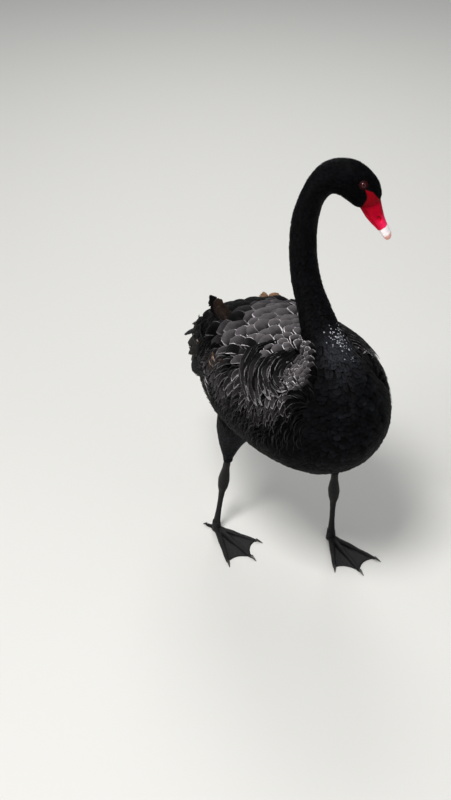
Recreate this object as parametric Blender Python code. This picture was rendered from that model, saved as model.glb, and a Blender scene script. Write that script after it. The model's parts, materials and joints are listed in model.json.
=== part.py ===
"""Black swan, standing: the solids of a still, life-size model.

The bird faces -Y, its left side is +X and it stands on z = 0. All sizes are in metres.
One skin runs from the rump over the back and breast, up the bent neck and out to the bill's
root. Thin flat cuts part it into torso, three lengths of neck, head and tail. Wings, thighs
and bill are fitted to that skin from the same sizes.
"""

import math
import random

import bmesh
import bpy
import numpy as np

# Gap that neighbouring pieces keep.
GAP = 0.0003

# The model's own origin lies under the middle of its box.
MIDDLE_X = -0.002
MIDDLE_Y = 0.026

# The skin's stations from the rump to the bill's root. Each holds how far forward it lies,
# how far to the left and how high; the pitch of the ring's axis and its turn to the left, in
# degrees; the half width, the reach to the back, the reach to the belly; and the squareness
# of the section, where 2 is an ellipse.
STATIONS = np.array([
    (-0.232, 0.000, 0.325, -12, 0, 0.0340, 0.0200, 0.0320, 2.0),
    (-0.200, 0.000, 0.320, -8, 0, 0.0620, 0.0450, 0.0670, 2.0),
    (-0.140, 0.000, 0.316, -4, 0, 0.0960, 0.0865, 0.1090, 2.1),
    (-0.065, 0.000, 0.314, 0, 0, 0.1250, 0.1105, 0.1280, 2.1),
    (0.005, 0.000, 0.314, 4, 0, 0.1360, 0.1180, 0.1260, 2.05),
    (0.070, 0.000, 0.318, 12, 0, 0.1370, 0.1185, 0.1265, 2.0),
    (0.120, 0.000, 0.335, 30, 0, 0.1275, 0.1050, 0.1300, 1.95),
    (0.142, 0.000, 0.372, 54, 0, 0.0975, 0.0810, 0.1155, 1.95),
    (0.129, -0.001, 0.416, 81, 0, 0.0552, 0.0530, 0.0655, 2.0),
    (0.103, -0.002, 0.459, 103, 0, 0.0352, 0.0385, 0.0360, 2.0),
    (0.077, -0.004, 0.504, 108, 3, 0.0270, 0.0290, 0.0265, 2.0),
    (0.059, -0.008, 0.551, 102, 9, 0.0237, 0.0255, 0.0238, 2.0),
    (0.052, -0.010, 0.602, 96, 16, 0.0221, 0.0238, 0.0221, 2.0),
    (0.052, -0.008, 0.655, 84, 24, 0.0210, 0.0216, 0.0212, 2.0),
    (0.062, -0.002, 0.704, 62, 32, 0.0204, 0.0176, 0.0226, 2.0),
    (0.082, 0.012, 0.734, 22, 38, 0.0230, 0.0255, 0.0268, 2.0),
    (0.105, 0.031, 0.736, -20, 41, 0.0262, 0.0333, 0.0292, 2.0),
    (0.122, 0.046, 0.721, -48, 41, 0.0240, 0.0316, 0.0288, 2.0),
    (0.1310, 0.0535, 0.708, -57, 41, 0.0190, 0.0250, 0.0262, 2.0),
    (0.1366, 0.0582, 0.7004, -60, 41, 0.0145, 0.0158, 0.0212, 2.0),
])
LAST = len(STATIONS) - 1

# Stations where the skin is parted.
RUMP_CUT = 1.0
NECK_ROOT_CUT = 8.6
NECK_LOW_CUT = 10.8
NECK_HIGH_CUT = 13.0
HEAD_CUT = 15.0

# The folded wing lies in a pocket of the torso's skin.
POCKET = 0.018
WING_SINK = 0.005
WING_RIM = -0.0006
WING_ROOT_DEPTH = 0.026
WING_FRONT = 5.95
WING_BACK = 0.95
WING_ROWS = 11
WING_COLUMNS = 6

# Vanes: the depth of their roots, and the breadth from root to tip of each kind.
VANE_ROOT = 0.0095
ROUND_VANE = (0.60, 0.92, 1.00, 0.62)
LONG_VANE = (0.62, 0.85, 1.00, 0.55)
POINTED_VANE = (0.60, 0.95, 1.00, 0.74, 0.16)
BODY_RADIUS = 0.12
REAR_END = 0.55

# Tiers of the folded wing. Along runs from the wing's front to its rear and across from its
# upper edge, -1, to its lower one, 1. Droop is the lie below level, in degrees.
WING_TIERS = (
    {"count": 6, "along": (0.12, 0.66), "across": (-0.70, -0.72), "length": (0.068, 0.078),
     "width": (0.046, 0.050), "droop": (8, 6), "high": 0.0022},
    {"count": 5, "along": (0.10, 0.62), "across": (-0.34, -0.34), "length": (0.070, 0.078),
     "width": (0.044, 0.048), "droop": (24, 14), "high": 0.0020},
    {"count": 5, "along": (0.08, 0.60), "across": (0.04, 0.04), "length": (0.070, 0.080),
     "width": (0.043, 0.045), "droop": (40, 20), "high": 0.0018},
    {"count": 5, "along": (0.10, 0.58), "across": (0.40, 0.38), "length": (0.072, 0.082),
     "width": (0.041, 0.043), "droop": (48, 24), "high": 0.0016},
    {"count": 5, "along": (0.16, 0.58), "across": (0.72, 0.68), "length": (0.068, 0.076),
     "width": (0.036, 0.038), "droop": (44, 22), "high": 0.0014},
)

# The wing's long vanes, raised and ragged: root along and across the wing, the tip's place
# forward, outward and up, the width and the lie of the root below level. The left wing's
# foremost one lies lower than the right one's.
WING_TIPS = (
    (0.70, -0.62, (-0.163, 0.046, 0.414), 0.036, 4),
    (0.74, -0.38, (-0.190, 0.050, 0.366), 0.034, 8),
    (0.76, -0.10, (-0.221, 0.051, 0.325), 0.044, 14),
    (0.76, 0.18, (-0.236, 0.056, 0.282), 0.044, 20),
    (0.75, 0.44, (-0.214, 0.063, 0.256), 0.040, 26),
    (0.86, -0.20, (-0.226, 0.034, 0.302), 0.026, 14),
    (0.86, 0.16, (-0.234, 0.037, 0.284), 0.026, 18),
    (0.85, 0.46, (-0.228, 0.044, 0.268), 0.026, 22),
)
LEFT_TIP = (-0.170, 0.050, 0.374)

# The tail: its vanes, their spread each way in degrees and its droop.
TAIL_VANES = 10
TAIL_SPREAD = 15
TAIL_DROOP = math.radians(34)

# The head's frame: its turn to the left, and the bill's pitch and root.
HEAD_TURN = math.radians(41)
BILL_PITCH = math.radians(-60)
BILL_ROOT = (0.1366, 0.0582, 0.7004)
BILL_LENGTH = 0.068

# The eye: its place from the bill's root, back along the bill, up and out, and its sizes.
EYE_BACK = 0.0385
EYE_UP = 0.0085
EYE_RADIUS = 0.0066
EYE_SUNK = 0.0044
LID_RADIUS = 0.0054
LID_THICKNESS = 0.0014
LID_STRETCH = 1.14

# The floor's height in the measures of this file.
GROUND = -0.050

# Each leg from the hip inside the body down to the toes' joint: forward, left, up, radius.
LEGS = {
    "right": {
        "thigh": ((-0.046, -0.056, 0.234, 0.046), (-0.063, -0.063, 0.187, 0.0345),
                  (-0.0705, -0.0710, 0.150, 0.0190), (-0.0715, -0.0735, 0.1275, 0.0112),
                  (-0.0730, -0.0740, 0.1165, 0.0074)),
        "hock": (-0.0833, -0.0765, 0.0580),
        "joint": (-0.0748, -0.0992, -0.0330),
        "toe_turn": math.radians(4),
    },
    "left": {
        "thigh": ((0.038, 0.055, 0.234, 0.046), (0.052, 0.062, 0.187, 0.0345),
                  (0.063, 0.0695, 0.150, 0.0190), (0.0672, 0.0722, 0.1275, 0.0112),
                  (0.0674, 0.0724, 0.1165, 0.0074)),
        "hock": (0.0661, 0.0735, 0.0645),
        "joint": (0.0712, 0.0688, -0.0330),
        "toe_turn": math.radians(-6),
    },
}

# Toes: turn from the foot's own direction, length and width at the root, and the claw.
TOES = (
    (math.radians(-27), 0.086, 0.0125),
    (math.radians(-1), 0.108, 0.0135),
    (math.radians(25), 0.101, 0.0130),
)
CLAW_LENGTH = 0.012
WEB_THICKNESS = 0.0030
HALLUX_LENGTH = 0.024


# Clearing, materials and meshes

def clear_scene():
    """Remove every object that the file opened with."""
    for thing in list(bpy.data.objects):
        bpy.data.objects.remove(thing, do_unlink=True)


def linear(hex_colour):
    """Turn a web colour into the linear colour that a shader takes."""
    parts = [int(hex_colour[i:i + 2], 16) / 255 for i in (1, 3, 5)]
    return [p / 12.92 if p <= 0.04045 else ((p + 0.055) / 1.055) ** 2.4 for p in parts] + [1.0]


def material(name, hex_colour, roughness, metallic=0.0):
    """A Principled surface of one colour."""
    made = bpy.data.materials.new(name)
    made.use_nodes = True
    shader = made.node_tree.nodes["Principled BSDF"]
    shader.inputs["Base Color"].default_value = linear(hex_colour)
    shader.inputs["Roughness"].default_value = roughness
    shader.inputs["Metallic"].default_value = metallic
    return made


def solid(name, points, faces):
    """A closed mesh object with its faces pointing outwards."""
    mesh = bpy.data.meshes.new(name)
    mesh.from_pydata([tuple(map(float, p)) for p in points], [], faces)
    sheet = bmesh.new()
    sheet.from_mesh(mesh)
    bmesh.ops.recalc_face_normals(sheet, faces=sheet.faces)
    sheet.to_mesh(mesh)
    sheet.free()
    made = bpy.data.objects.new(name, mesh)
    bpy.context.scene.collection.objects.link(made)
    return made


def loft(name, rings):
    """A closed tube through rings of points, with a fan over each end."""
    rings = np.asarray(rings, float)
    count, around = rings.shape[:2]
    points = list(rings.reshape(-1, 3)) + [rings[0].mean(0), rings[-1].mean(0)]
    faces = []
    for i in range(count - 1):
        for k in range(around):
            a, b = i * around + k, i * around + (k + 1) % around
            faces.append((a, b, b + around))
            faces.append((a, b + around, a + around))
    first, last = count * around, count * around + 1
    top = (count - 1) * around
    for k in range(around):
        faces.append((first, (k + 1) % around, k))
        faces.append((last, top + k, top + (k + 1) % around))
    return solid(name, points, faces)


def shell(name, upper, lower):
    """A closed plate between two grids of points, split alike on both faces."""
    upper, lower = np.asarray(upper, float), np.asarray(lower, float)
    rows, columns = upper.shape[:2]
    points = list(upper.reshape(-1, 3)) + list(lower.reshape(-1, 3))
    under = rows * columns
    faces = []
    for i in range(rows - 1):
        for k in range(columns - 1):
            a, b = i * columns + k, i * columns + k + 1
            for face in ((a, b, b + columns), (a, b + columns, a + columns)):
                faces.append(face)
                faces.append(tuple(under + p for p in reversed(face)))
    rim = [k for k in range(columns)]
    rim += [i * columns + columns - 1 for i in range(1, rows)]
    rim += [(rows - 1) * columns + k for k in range(columns - 2, -1, -1)]
    rim += [i * columns for i in range(rows - 2, 0, -1)]
    for a, b in zip(rim, rim[1:] + rim[:1]):
        faces.append((b, a, under + a))
        faces.append((b, under + a, under + b))
    return solid(name, points, faces)


# Joining and cutting

def apply_modifiers(thing):
    """Give an object the mesh that its modifiers make."""
    evaluated = thing.evaluated_get(bpy.context.evaluated_depsgraph_get())
    mesh = bpy.data.meshes.new_from_object(evaluated)
    thing.modifiers.clear()
    old = thing.data
    thing.data = mesh
    bpy.data.meshes.remove(old)


def keep_largest(thing):
    """Keep only the largest closed surface of a mesh, in triangles."""
    sheet = bmesh.new()
    sheet.from_mesh(thing.data)
    bmesh.ops.triangulate(sheet, faces=sheet.faces)
    unseen = set(sheet.verts)
    islands = []
    while unseen:
        stack = [unseen.pop()]
        island = set(stack)
        while stack:
            for edge in stack.pop().link_edges:
                for vert in edge.verts:
                    if vert in unseen:
                        unseen.discard(vert)
                        island.add(vert)
                        stack.append(vert)
        islands.append(island)
    islands.sort(key=len)
    spare = [vert for island in islands[:-1] for vert in island]
    bmesh.ops.delete(sheet, geom=spare, context="VERTS")
    sheet.to_mesh(thing.data)
    sheet.free()


def combine(name, base, others, operation, solver="MANIFOLD"):
    """Fuse other solids to a base or take them away from it, and remove them."""
    group = bpy.data.collections.new(name + " pieces")
    bpy.context.scene.collection.children.link(group)
    for piece in others:
        group.objects.link(piece)
        bpy.context.scene.collection.objects.unlink(piece)
    boolean = base.modifiers.new("combine", "BOOLEAN")
    boolean.operand_type = "COLLECTION"
    boolean.collection = group
    boolean.operation = operation
    boolean.solver = solver
    apply_modifiers(base)
    for piece in others:
        bpy.data.objects.remove(piece, do_unlink=True)
    bpy.data.collections.remove(group)
    keep_largest(base)
    base.name = name
    base.data.name = name
    return base


# The skin

def smooth(x):
    """Rise gently from 0 to 1 as x does."""
    x = np.clip(x, 0.0, 1.0)
    return x * x * (3 - 2 * x)


def station(s):
    """Values of the skin's stations at s, on a smooth curve through them."""
    s = np.clip(np.asarray(s, float), 0.0, LAST)
    i = np.minimum(s.astype(int), LAST - 1)
    t = (s - i)[..., None]
    p0, p1 = STATIONS[np.maximum(i - 1, 0)], STATIONS[i]
    p2, p3 = STATIONS[i + 1], STATIONS[np.minimum(i + 2, LAST)]
    return 0.5 * (2 * p1 + (p2 - p0) * t + (2 * p0 - 5 * p1 + 4 * p2 - p3) * t ** 2
                  + (3 * p1 - p0 - 3 * p2 + p3) * t ** 3)


def station_axis(s):
    """Centre, forward axis, left and up directions of the ring at s."""
    row = station(s)
    pitch, turn = np.radians(row[..., 3]), np.radians(row[..., 4])
    zero = np.zeros_like(pitch)
    centre = np.stack([row[..., 1], -row[..., 0], row[..., 2]], -1)
    left = np.stack([np.cos(turn), np.sin(turn), zero], -1)
    axis = np.stack([np.cos(pitch) * np.sin(turn), -np.cos(pitch) * np.cos(turn),
                     np.sin(pitch)], -1)
    return centre, axis, left, np.cross(axis, left)


def form_centre(s):
    """Centre of the ring at s."""
    return station_axis(s)[0]


def form(s, turn):
    """Point of the outer form at station s, turned from the back towards the left."""
    s, turn = np.broadcast_arrays(np.asarray(s, float), np.asarray(turn, float))
    row = station(s)
    centre, _, left, up = station_axis(s)
    side, rise = np.sin(turn), np.cos(turn)
    squareness = row[..., 8]
    reach = (np.abs(side) ** squareness + np.abs(rise) ** squareness) ** (-1 / squareness)
    height = np.where(rise > 0, row[..., 6], row[..., 7])
    return (centre + left * (row[..., 5] * side * reach)[..., None]
            + up * (height * rise * reach)[..., None])


def form_normal(s, turn, step=0.02):
    """Outward direction of the outer form."""
    s = np.clip(s, 0, LAST)
    along = form(np.minimum(s + step, LAST), turn) - form(np.maximum(s - step, 0), turn)
    across = form(s, turn + step) - form(s, turn - step)
    normal = np.cross(along, across)
    return normal / np.linalg.norm(normal, axis=-1, keepdims=True)


def fold_outline(along):
    """Middle and half breadth of the folded wing, as turns from the back."""
    knots = (0.0, 0.12, 0.35, 0.7, 1.0)
    middle = np.interp(along, knots, np.radians((66, 66, 63, 58, 52)))
    half = np.interp(along, knots, np.radians((24, 40, 51, 48, 30)))
    return middle, half


def pocket(s, turn):
    """Depth by which the torso's skin lies below the outer form, where the wing folds."""
    along = (WING_FRONT - s) / (WING_FRONT - WING_BACK)
    middle, half = fold_outline(np.clip(along, 0.0, 1.0))
    bare_turn = np.abs((turn + math.pi) % (2 * math.pi) - math.pi)
    across = np.abs(bare_turn - middle) / half
    return (POCKET * smooth((1.12 - across) / 0.42) * smooth((along + 0.03) / 0.16)
            * smooth((1.05 - along) / 0.20))


def skin(s, turn, lift=0.0):
    """Point of the bird's skin, raised along its normal by lift."""
    s, turn = np.broadcast_arrays(np.asarray(s, float), np.asarray(turn, float))
    return form(s, turn) + form_normal(s, turn) * (lift - pocket(s, turn))[..., None]


def skin_rings(start, end, count, around, lift=0.0, trim=0.0):
    """Rings of the skin between two stations, the end ones flat and moved inwards by trim."""
    turns = np.linspace(0, 2 * math.pi, around, endpoint=False)
    stations = np.linspace(start, end, count)
    rings = skin(stations[:, None], turns[None, :], lift)
    for index, way in ((0, 1), (-1, -1)):
        centre, axis, _, _ = station_axis(stations[index])
        length = np.linalg.norm(form_centre(stations[index] + 0.02)
                                - form_centre(stations[index] - 0.02)) / 0.04
        ring = skin(stations[index] + way * trim / length, turns, lift)
        off = (ring - centre) @ axis
        rings[index] = ring + axis * (way * trim - off)[:, None]
    return rings


# Neck, torso and head

def torso(name="torso", lift=0.0, trim=GAP / 2):
    """The body from the rump's cut to the neck's root."""
    return loft(name, skin_rings(RUMP_CUT, NECK_ROOT_CUT, 24, 24, lift, trim))


def rump(name="rump", lift=0.0, trim=GAP / 2):
    """The short rear end of the body that carries the tail."""
    return loft(name, skin_rings(0.0, RUMP_CUT, 4, 24, lift, trim))


def clear_of_body(name, base):
    """Cut a piece to the body's skin, with the gap that neighbours keep."""
    cutters = [torso("torso cutter", GAP, -GAP), rump("rump cutter", GAP, -GAP)]
    return combine(name, base, cutters, "DIFFERENCE")


def neck_length(name, start, end, count):
    """One length of the neck."""
    return loft(name, skin_rings(start, end, count, 20, trim=GAP / 2))


def head_frame():
    """Root of the bill and the head's axes: along the bill, left and up."""
    forward, left_by, height = BILL_ROOT
    root = np.array([left_by, -forward, height])
    ahead = np.array([math.sin(HEAD_TURN), -math.cos(HEAD_TURN), 0.0])
    left = np.array([math.cos(HEAD_TURN), math.sin(HEAD_TURN), 0.0])
    along = ahead * math.cos(BILL_PITCH) + np.array([0, 0, math.sin(BILL_PITCH)])
    return root, along, left, np.cross(along, left)


def eye_seat(side):
    """Point of the head's skin at an eye and the direction out of it, side 1 for the left."""
    root, along, left, up = head_frame()
    target = root - along * EYE_BACK + up * EYE_UP
    s = np.linspace(HEAD_CUT, LAST, 160)
    turn = np.radians(np.linspace(20, 150, 160))
    points = form(s[:, None], side * turn[None, :])
    off = points - target
    off -= (off @ left)[..., None] * left
    i, k = np.unravel_index(np.argmin((off ** 2).sum(-1)), off.shape[:2])
    out = form_normal(s[i], side * turn[k])
    return points[i, k], out / np.linalg.norm(out)


def ball(name, centre, radius, segments, rings):
    """A closed ball."""
    sheet = bmesh.new()
    bmesh.ops.create_uvsphere(sheet, u_segments=segments, v_segments=rings, radius=radius)
    points = [np.array(vert.co) + centre for vert in sheet.verts]
    faces = [[vert.index for vert in face.verts] for face in sheet.faces]
    sheet.free()
    return solid(name, points, faces)


def lid_ring(name, side):
    """The rim of skin round an eye: a thin ring, longer along the bill's line."""
    seat, out = eye_seat(side)
    _, along, _, _ = head_frame()
    level = along - out * (along @ out)
    level /= np.linalg.norm(level)
    high = np.cross(out, level)
    points = []
    faces = []
    around, section = 16, 6
    for i in range(around):
        turn = 2 * math.pi * i / around
        spoke = level * (math.cos(turn) * LID_STRETCH) + high * math.sin(turn)
        for k in range(section):
            roll = 2 * math.pi * k / section
            points.append(seat + spoke * (LID_RADIUS + LID_THICKNESS * math.cos(roll))
                          + out * LID_THICKNESS * math.sin(roll))
            a, b = i * section + k, i * section + (k + 1) % section
            c, d = (b + section) % (around * section), (a + section) % (around * section)
            faces.append((a, b, c))
            faces.append((a, c, d))
    return solid(name, points, faces)


def head():
    """The head with a rim of lid round each eye and the eyes' sockets."""
    base = loft("head", skin_rings(HEAD_CUT, LAST, 14, 24, trim=GAP / 2))
    rims = [lid_ring("lid", side) for side in (-1, 1)]
    base = combine("head", base, rims, "UNION")
    sockets = []
    for side in (-1, 1):
        seat, out = eye_seat(side)
        sockets.append(ball("socket", seat - out * EYE_SUNK, EYE_RADIUS + GAP, 18, 10))
    return combine("head", base, sockets, "DIFFERENCE")


def eye(name, side):
    """An eyeball that fills its socket."""
    seat, out = eye_seat(side)
    return ball(name, seat - out * EYE_SUNK, EYE_RADIUS, 14, 9)


# The bill

def bill_profile(t):
    """Half width, culmen, mouth line and lower edge of the bill at t from root to tip."""
    width = np.interp(t, (0, 0.3, 0.6, 0.84, 0.93, 0.98, 1.0),
                      (0.0140, 0.0131, 0.0122, 0.0119, 0.0097, 0.0060, 0.0030))
    culmen = np.interp(t, (0, 0.25, 0.45, 0.6, 0.85, 0.95, 1.0),
                       (0.0150, 0.0101, 0.0066, 0.0052, 0.0041, 0.0022, -0.0010))
    mouth = np.interp(t, (0, 0.3, 0.7, 1.0), (-0.0112, -0.0098, -0.0060, -0.0048))
    under = np.interp(t, (0, 0.25, 0.45, 0.65, 0.85, 0.96, 1.0),
                      (-0.0206, -0.0198, -0.0164, -0.0114, -0.0084, -0.0068, -0.0060))
    return width, culmen, mouth, under


def bill_part(name, upper, end):
    """One half of the bill, domed outwards and flat along the mouth line."""
    root, along, left, up = head_frame()
    rings = []
    for t in list(np.linspace(0, 0.84, 8)) + list(np.linspace(0.89, end, 4)):
        width, culmen, mouth, under = bill_profile(t)
        if upper:
            crest, flat, wide = culmen, mouth + GAP / 2, width
        else:
            crest, flat, wide = under, mouth - GAP / 2, width * 0.86
        centre = root + along * (GAP + (BILL_LENGTH - GAP) * t)
        ring = []
        for k in range(9):
            roll = math.pi * k / 8
            dome = abs(math.sin(roll)) ** 0.72
            ring.append(centre + left * wide * math.cos(roll)
                        + up * (flat + (crest - flat) * dome))
        for k in (1, 0, -1):
            ring.append(centre - left * wide * k * 0.5 + up * flat)
        rings.append(ring)
    return loft(name, rings)


def bill_upper():
    """The upper bill with its two nostrils, long ovals low on the sides."""
    base = bill_part("bill_upper", True, 1.0)
    root, along, left, up = head_frame()
    pits = []
    for side in (-1, 1):
        centre = root + along * BILL_LENGTH * 0.40 + up * 0.0026 + left * side * 0.0124
        rings = []
        for depth in (-0.0045, 0.0045):
            ring = []
            for k in range(12):
                roll = 2 * math.pi * k / 12
                ring.append(centre + left * depth + along * 0.0052 * math.cos(roll)
                            + up * 0.0020 * math.sin(roll))
            rings.append(ring)
        pits.append(loft("nostril", rings))
    return combine("bill_upper", base, pits, "DIFFERENCE")


# Wings and tail

def wing_shell(side):
    """The folded wing's body: its outer face level with the form, its root in the pocket."""
    along = np.linspace(0.0, 1.0, WING_ROWS)
    across = np.linspace(-1.0, 1.0, WING_COLUMNS)
    middle, half = fold_outline(along)
    s = WING_FRONT + (WING_BACK - WING_FRONT) * along
    turn = side * (middle[:, None] + half[:, None] * across[None, :])
    s = np.repeat(s[:, None], WING_COLUMNS, 1)
    inside = smooth((1 - np.abs(across)) / 0.35)[None, :]
    inside = inside * (smooth(along / 0.12) * smooth((1 - along) / 0.12))[:, None]
    lift = WING_RIM - (WING_SINK + WING_RIM) * inside
    normal = form_normal(s, turn)
    outer = form(s, turn) + normal * lift[..., None]
    inner = form(s, turn) - normal * WING_ROOT_DEPTH
    return shell("wing", outer, inner)


def plate(name, centres, sides, normals, half_widths, thickness, camber=0.0):
    """A thin closed vane with a raised middle line, from rows of centre, side and normal."""
    upper, lower = [], []
    for centre, side, normal, half, thick in zip(centres, sides, normals, half_widths,
                                                 thickness):
        row = []
        for k in (-1, 0, 1):
            drop = camber * abs(k) * half
            row.append((centre + side * half * k - normal * drop,
                        normal * thick * (0.5 if k == 0 else 0.35)))
        upper.append([point + off for point, off in row])
        lower.append([point - off for point, off in row])
    return shell(name, upper, lower)


def vane_outline(rows, shape):
    """Share of the full breadth at each row of a vane, from its root to its tip."""
    return np.interp(np.linspace(0, 1, rows), np.linspace(0, 1, len(shape)), shape)


def blade(name, root, way, normal, length, width, rise=0.0, bend=0.0, rows=4, thick=0.0012,
          camber=0.12, shape=ROUND_VANE):
    """A free vane: it leaves its root at an angle of rise and bends evenly by bend."""
    way = way / np.linalg.norm(way)
    normal = normal - way * (normal @ way)
    normal /= np.linalg.norm(normal)
    side = np.cross(normal, way)
    centre = np.array(root, float)
    centres, normals = [], []
    for t in np.linspace(0, 1, rows):
        angle = rise + bend * t
        centres.append(centre)
        normals.append(normal * math.cos(angle) - way * math.sin(angle))
        centre = centre + (way * math.cos(angle) + normal * math.sin(angle)) * length / (rows - 1)
    halves = vane_outline(rows, shape) * width / 2
    return plate(name, centres, [side] * rows, normals, halves,
                 np.linspace(thick, thick * 0.7, rows), camber)


def glide(s, turn, way, distance):
    """Move over the form along a direction; returns the new station and turn."""
    here = form(s, turn)
    small = 0.01
    grid = np.stack([(form(s + small, turn) - here) / small,
                     (form(s, turn + small) - here) / small], 1)
    move = np.linalg.lstsq(grid, way, rcond=None)[0]
    move *= distance / np.linalg.norm(grid @ move)
    return s + move[0], turn + move[1]


def lying_vane(name, s, turn, way, length, width, low, high, rows=4, thick=0.0011):
    """A vane that follows the body: it rises from low below the form to high above it."""
    step = length / (rows - 1)
    centres, sides, normals = [], [], []
    point, normal = form(s, turn), form_normal(s, turn)
    for t in np.linspace(0, 1, rows):
        lift = -low + (low + high) * t ** 0.8
        centres.append(point + normal * lift)
        normals.append(normal)
        if s > REAR_END:
            next_s, next_turn = glide(s, turn, way, step)
            ahead = form(next_s, next_turn) - point
            s, turn = next_s, next_turn
            next_normal = form_normal(s, turn)
        else:
            next_normal = normal
        sides.append(np.cross(normal, ahead / np.linalg.norm(ahead)))
        point, normal = point + ahead, next_normal
    halves = vane_outline(rows, ROUND_VANE) * width / 2
    return plate(name, centres, sides, normals, halves,
                 np.linspace(thick, thick * 0.7, rows), 0.10 + width / 4 / BODY_RADIUS)


def wing_place(side, along, across):
    """Station and turn of a place on the folded wing."""
    middle, half = fold_outline(along)
    return WING_FRONT + (WING_BACK - WING_FRONT) * along, side * (middle + half * across)


def raised_vane(name, root, normal, way, tip, width, rows=5, thick=0.0011):
    """A vane that leaves the body along way and curves to its tip."""
    chord = tip - root
    middle = root + way * 0.52 * np.linalg.norm(chord)
    side = np.cross(normal, chord)
    side /= np.linalg.norm(side)
    centres, normals = [], []
    for t in np.linspace(0, 1, rows):
        centres.append(root * (1 - t) ** 2 + middle * 2 * t * (1 - t) + tip * t ** 2)
        tangent = (middle - root) * (1 - t) + (tip - middle) * t
        upright = np.cross(tangent, side)
        normals.append(upright / np.linalg.norm(upright))
    halves = vane_outline(rows, POINTED_VANE) * width / 2
    return plate(name, centres, [side] * rows, normals, halves,
                 np.linspace(thick, thick * 0.7, rows), 0.22)


def wing_feathers(side):
    """The folded wing's vanes, tier by tier from the back to the flank and the tips."""
    made = []
    chance = random.Random(7)
    for tier in WING_TIERS:
        count = tier["count"]
        for i in range(count):
            share = i / (count - 1)
            along, across, length, width, droop = [
                a + (b - a) * share for a, b in
                (tier["along"], tier["across"], tier["length"], tier["width"], tier["droop"])]
            droop = math.radians(droop + chance.uniform(-3, 3))
            length *= chance.uniform(0.94, 1.06)
            s, turn = wing_place(side, along, across)
            way = np.array([0.0, math.cos(droop), -math.sin(droop)])
            high = tier["high"] + chance.uniform(0, 0.001)
            made.append(lying_vane("vane", s, turn, way, length, width, VANE_ROOT, high))
    for index, (along, across, target, width, droop) in enumerate(WING_TIPS):
        forward, outward, up = LEFT_TIP if index == 0 and side == 1 else target
        s, turn = wing_place(side, along, across)
        normal = form_normal(s, turn)
        root = form(s, turn) - normal * VANE_ROOT
        droop = math.radians(droop)
        way = np.array([0.0, math.cos(droop), -math.sin(droop)])
        way -= normal * (way @ normal) * 0.8
        tip = np.array([side * outward, -forward, up])
        made.append(raised_vane("vane", root, normal, way / np.linalg.norm(way), tip, width))
    return made


def wing(name, side):
    """A folded wing with its vanes, cut to the body."""
    base = combine(name, wing_shell(side), wing_feathers(side), "UNION")
    return clear_of_body(name, base)


def tail():
    """The rump with the tail's vanes and the coverts over and under their roots."""
    pieces = []
    for i in range(TAIL_VANES):
        share = i / (TAIL_VANES - 1) * 2 - 1
        fan = math.radians(TAIL_SPREAD) * share
        way = np.array([math.sin(fan), math.cos(fan), -math.tan(TAIL_DROOP)])
        root = np.array([0.020 * share, 0.207, 0.3235 - 0.004 * share ** 2 + 0.0016 * (i % 2)])
        pieces.append(blade("vane", root, way, np.array([0, math.sin(TAIL_DROOP), 1.0]),
                            0.098 - 0.012 * share ** 2, 0.024, thick=0.0010, shape=LONG_VANE))
    for count, lift, droop, length, width in ((5, 0.010, 0.42, 0.054, 0.028),
                                              (4, -0.016, 0.56, 0.058, 0.030)):
        for i in range(count):
            share = i / (count - 1) * 2 - 1
            way = np.array([0.30 * share, 1.0, -droop])
            root = np.array([0.019 * share, 0.206, 0.322 + lift * (1 - 0.25 * share ** 2)])
            outward = np.array([0.4 * share, 0.0, math.copysign(1.0, lift)])
            pieces.append(blade("covert", root, way, outward, length, width, rise=0.06,
                                bend=-0.12))
    return combine("tail", rump("tail"), pieces, "UNION")


# Legs

def tube(name, knots, around=12):
    """A closed round tube through knots of centre, half width across and half depth."""
    rings = []
    for centre, wide, deep in knots:
        rings.append([np.array(centre) + np.array([wide * math.cos(a), deep * math.sin(a), 0])
                      for a in np.linspace(0, 2 * math.pi, around, endpoint=False)])
    return loft(name, rings)


def place(forward, left_by, height):
    """A point from its distances forward, to the left and up."""
    return np.array([left_by, -forward, height])


def thigh(name, side):
    """The feathered leg above the hock, cut to the belly's skin."""
    knots = []
    for forward, left_by, height, radius in reversed(LEGS[side]["thigh"]):
        knots.append((place(forward, left_by, height), radius, radius * 1.12))
    return clear_of_body(name, tube(name, knots, 14))


def shank(name, side):
    """The bare leg: the hock's knob, the slim tarsus and the swelling at the toes' joint."""
    leg = LEGS[side]
    top = place(*leg["thigh"][-1][:3]) - np.array([0, 0, GAP])
    hock, joint = place(*leg["hock"]), place(*leg["joint"])
    knots = [(top, 0.0064, 0.0074)]
    for t, wide, deep in ((0.48, 0.0066, 0.0078), (0.74, 0.0088, 0.0106), (1.0, 0.0104, 0.0128)):
        knots.append((top * (1 - t) + hock * t, wide, deep))
    for t, wide, deep in ((0.14, 0.0090, 0.0114), (0.27, 0.0056, 0.0074), (0.45, 0.0045, 0.0061),
                          (0.70, 0.0045, 0.0061), (0.90, 0.0058, 0.0073), (1.0, 0.0072, 0.0084)):
        knots.append((hock * (1 - t) + joint * t, wide, deep))
    return tube(name, knots, 12)


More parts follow.
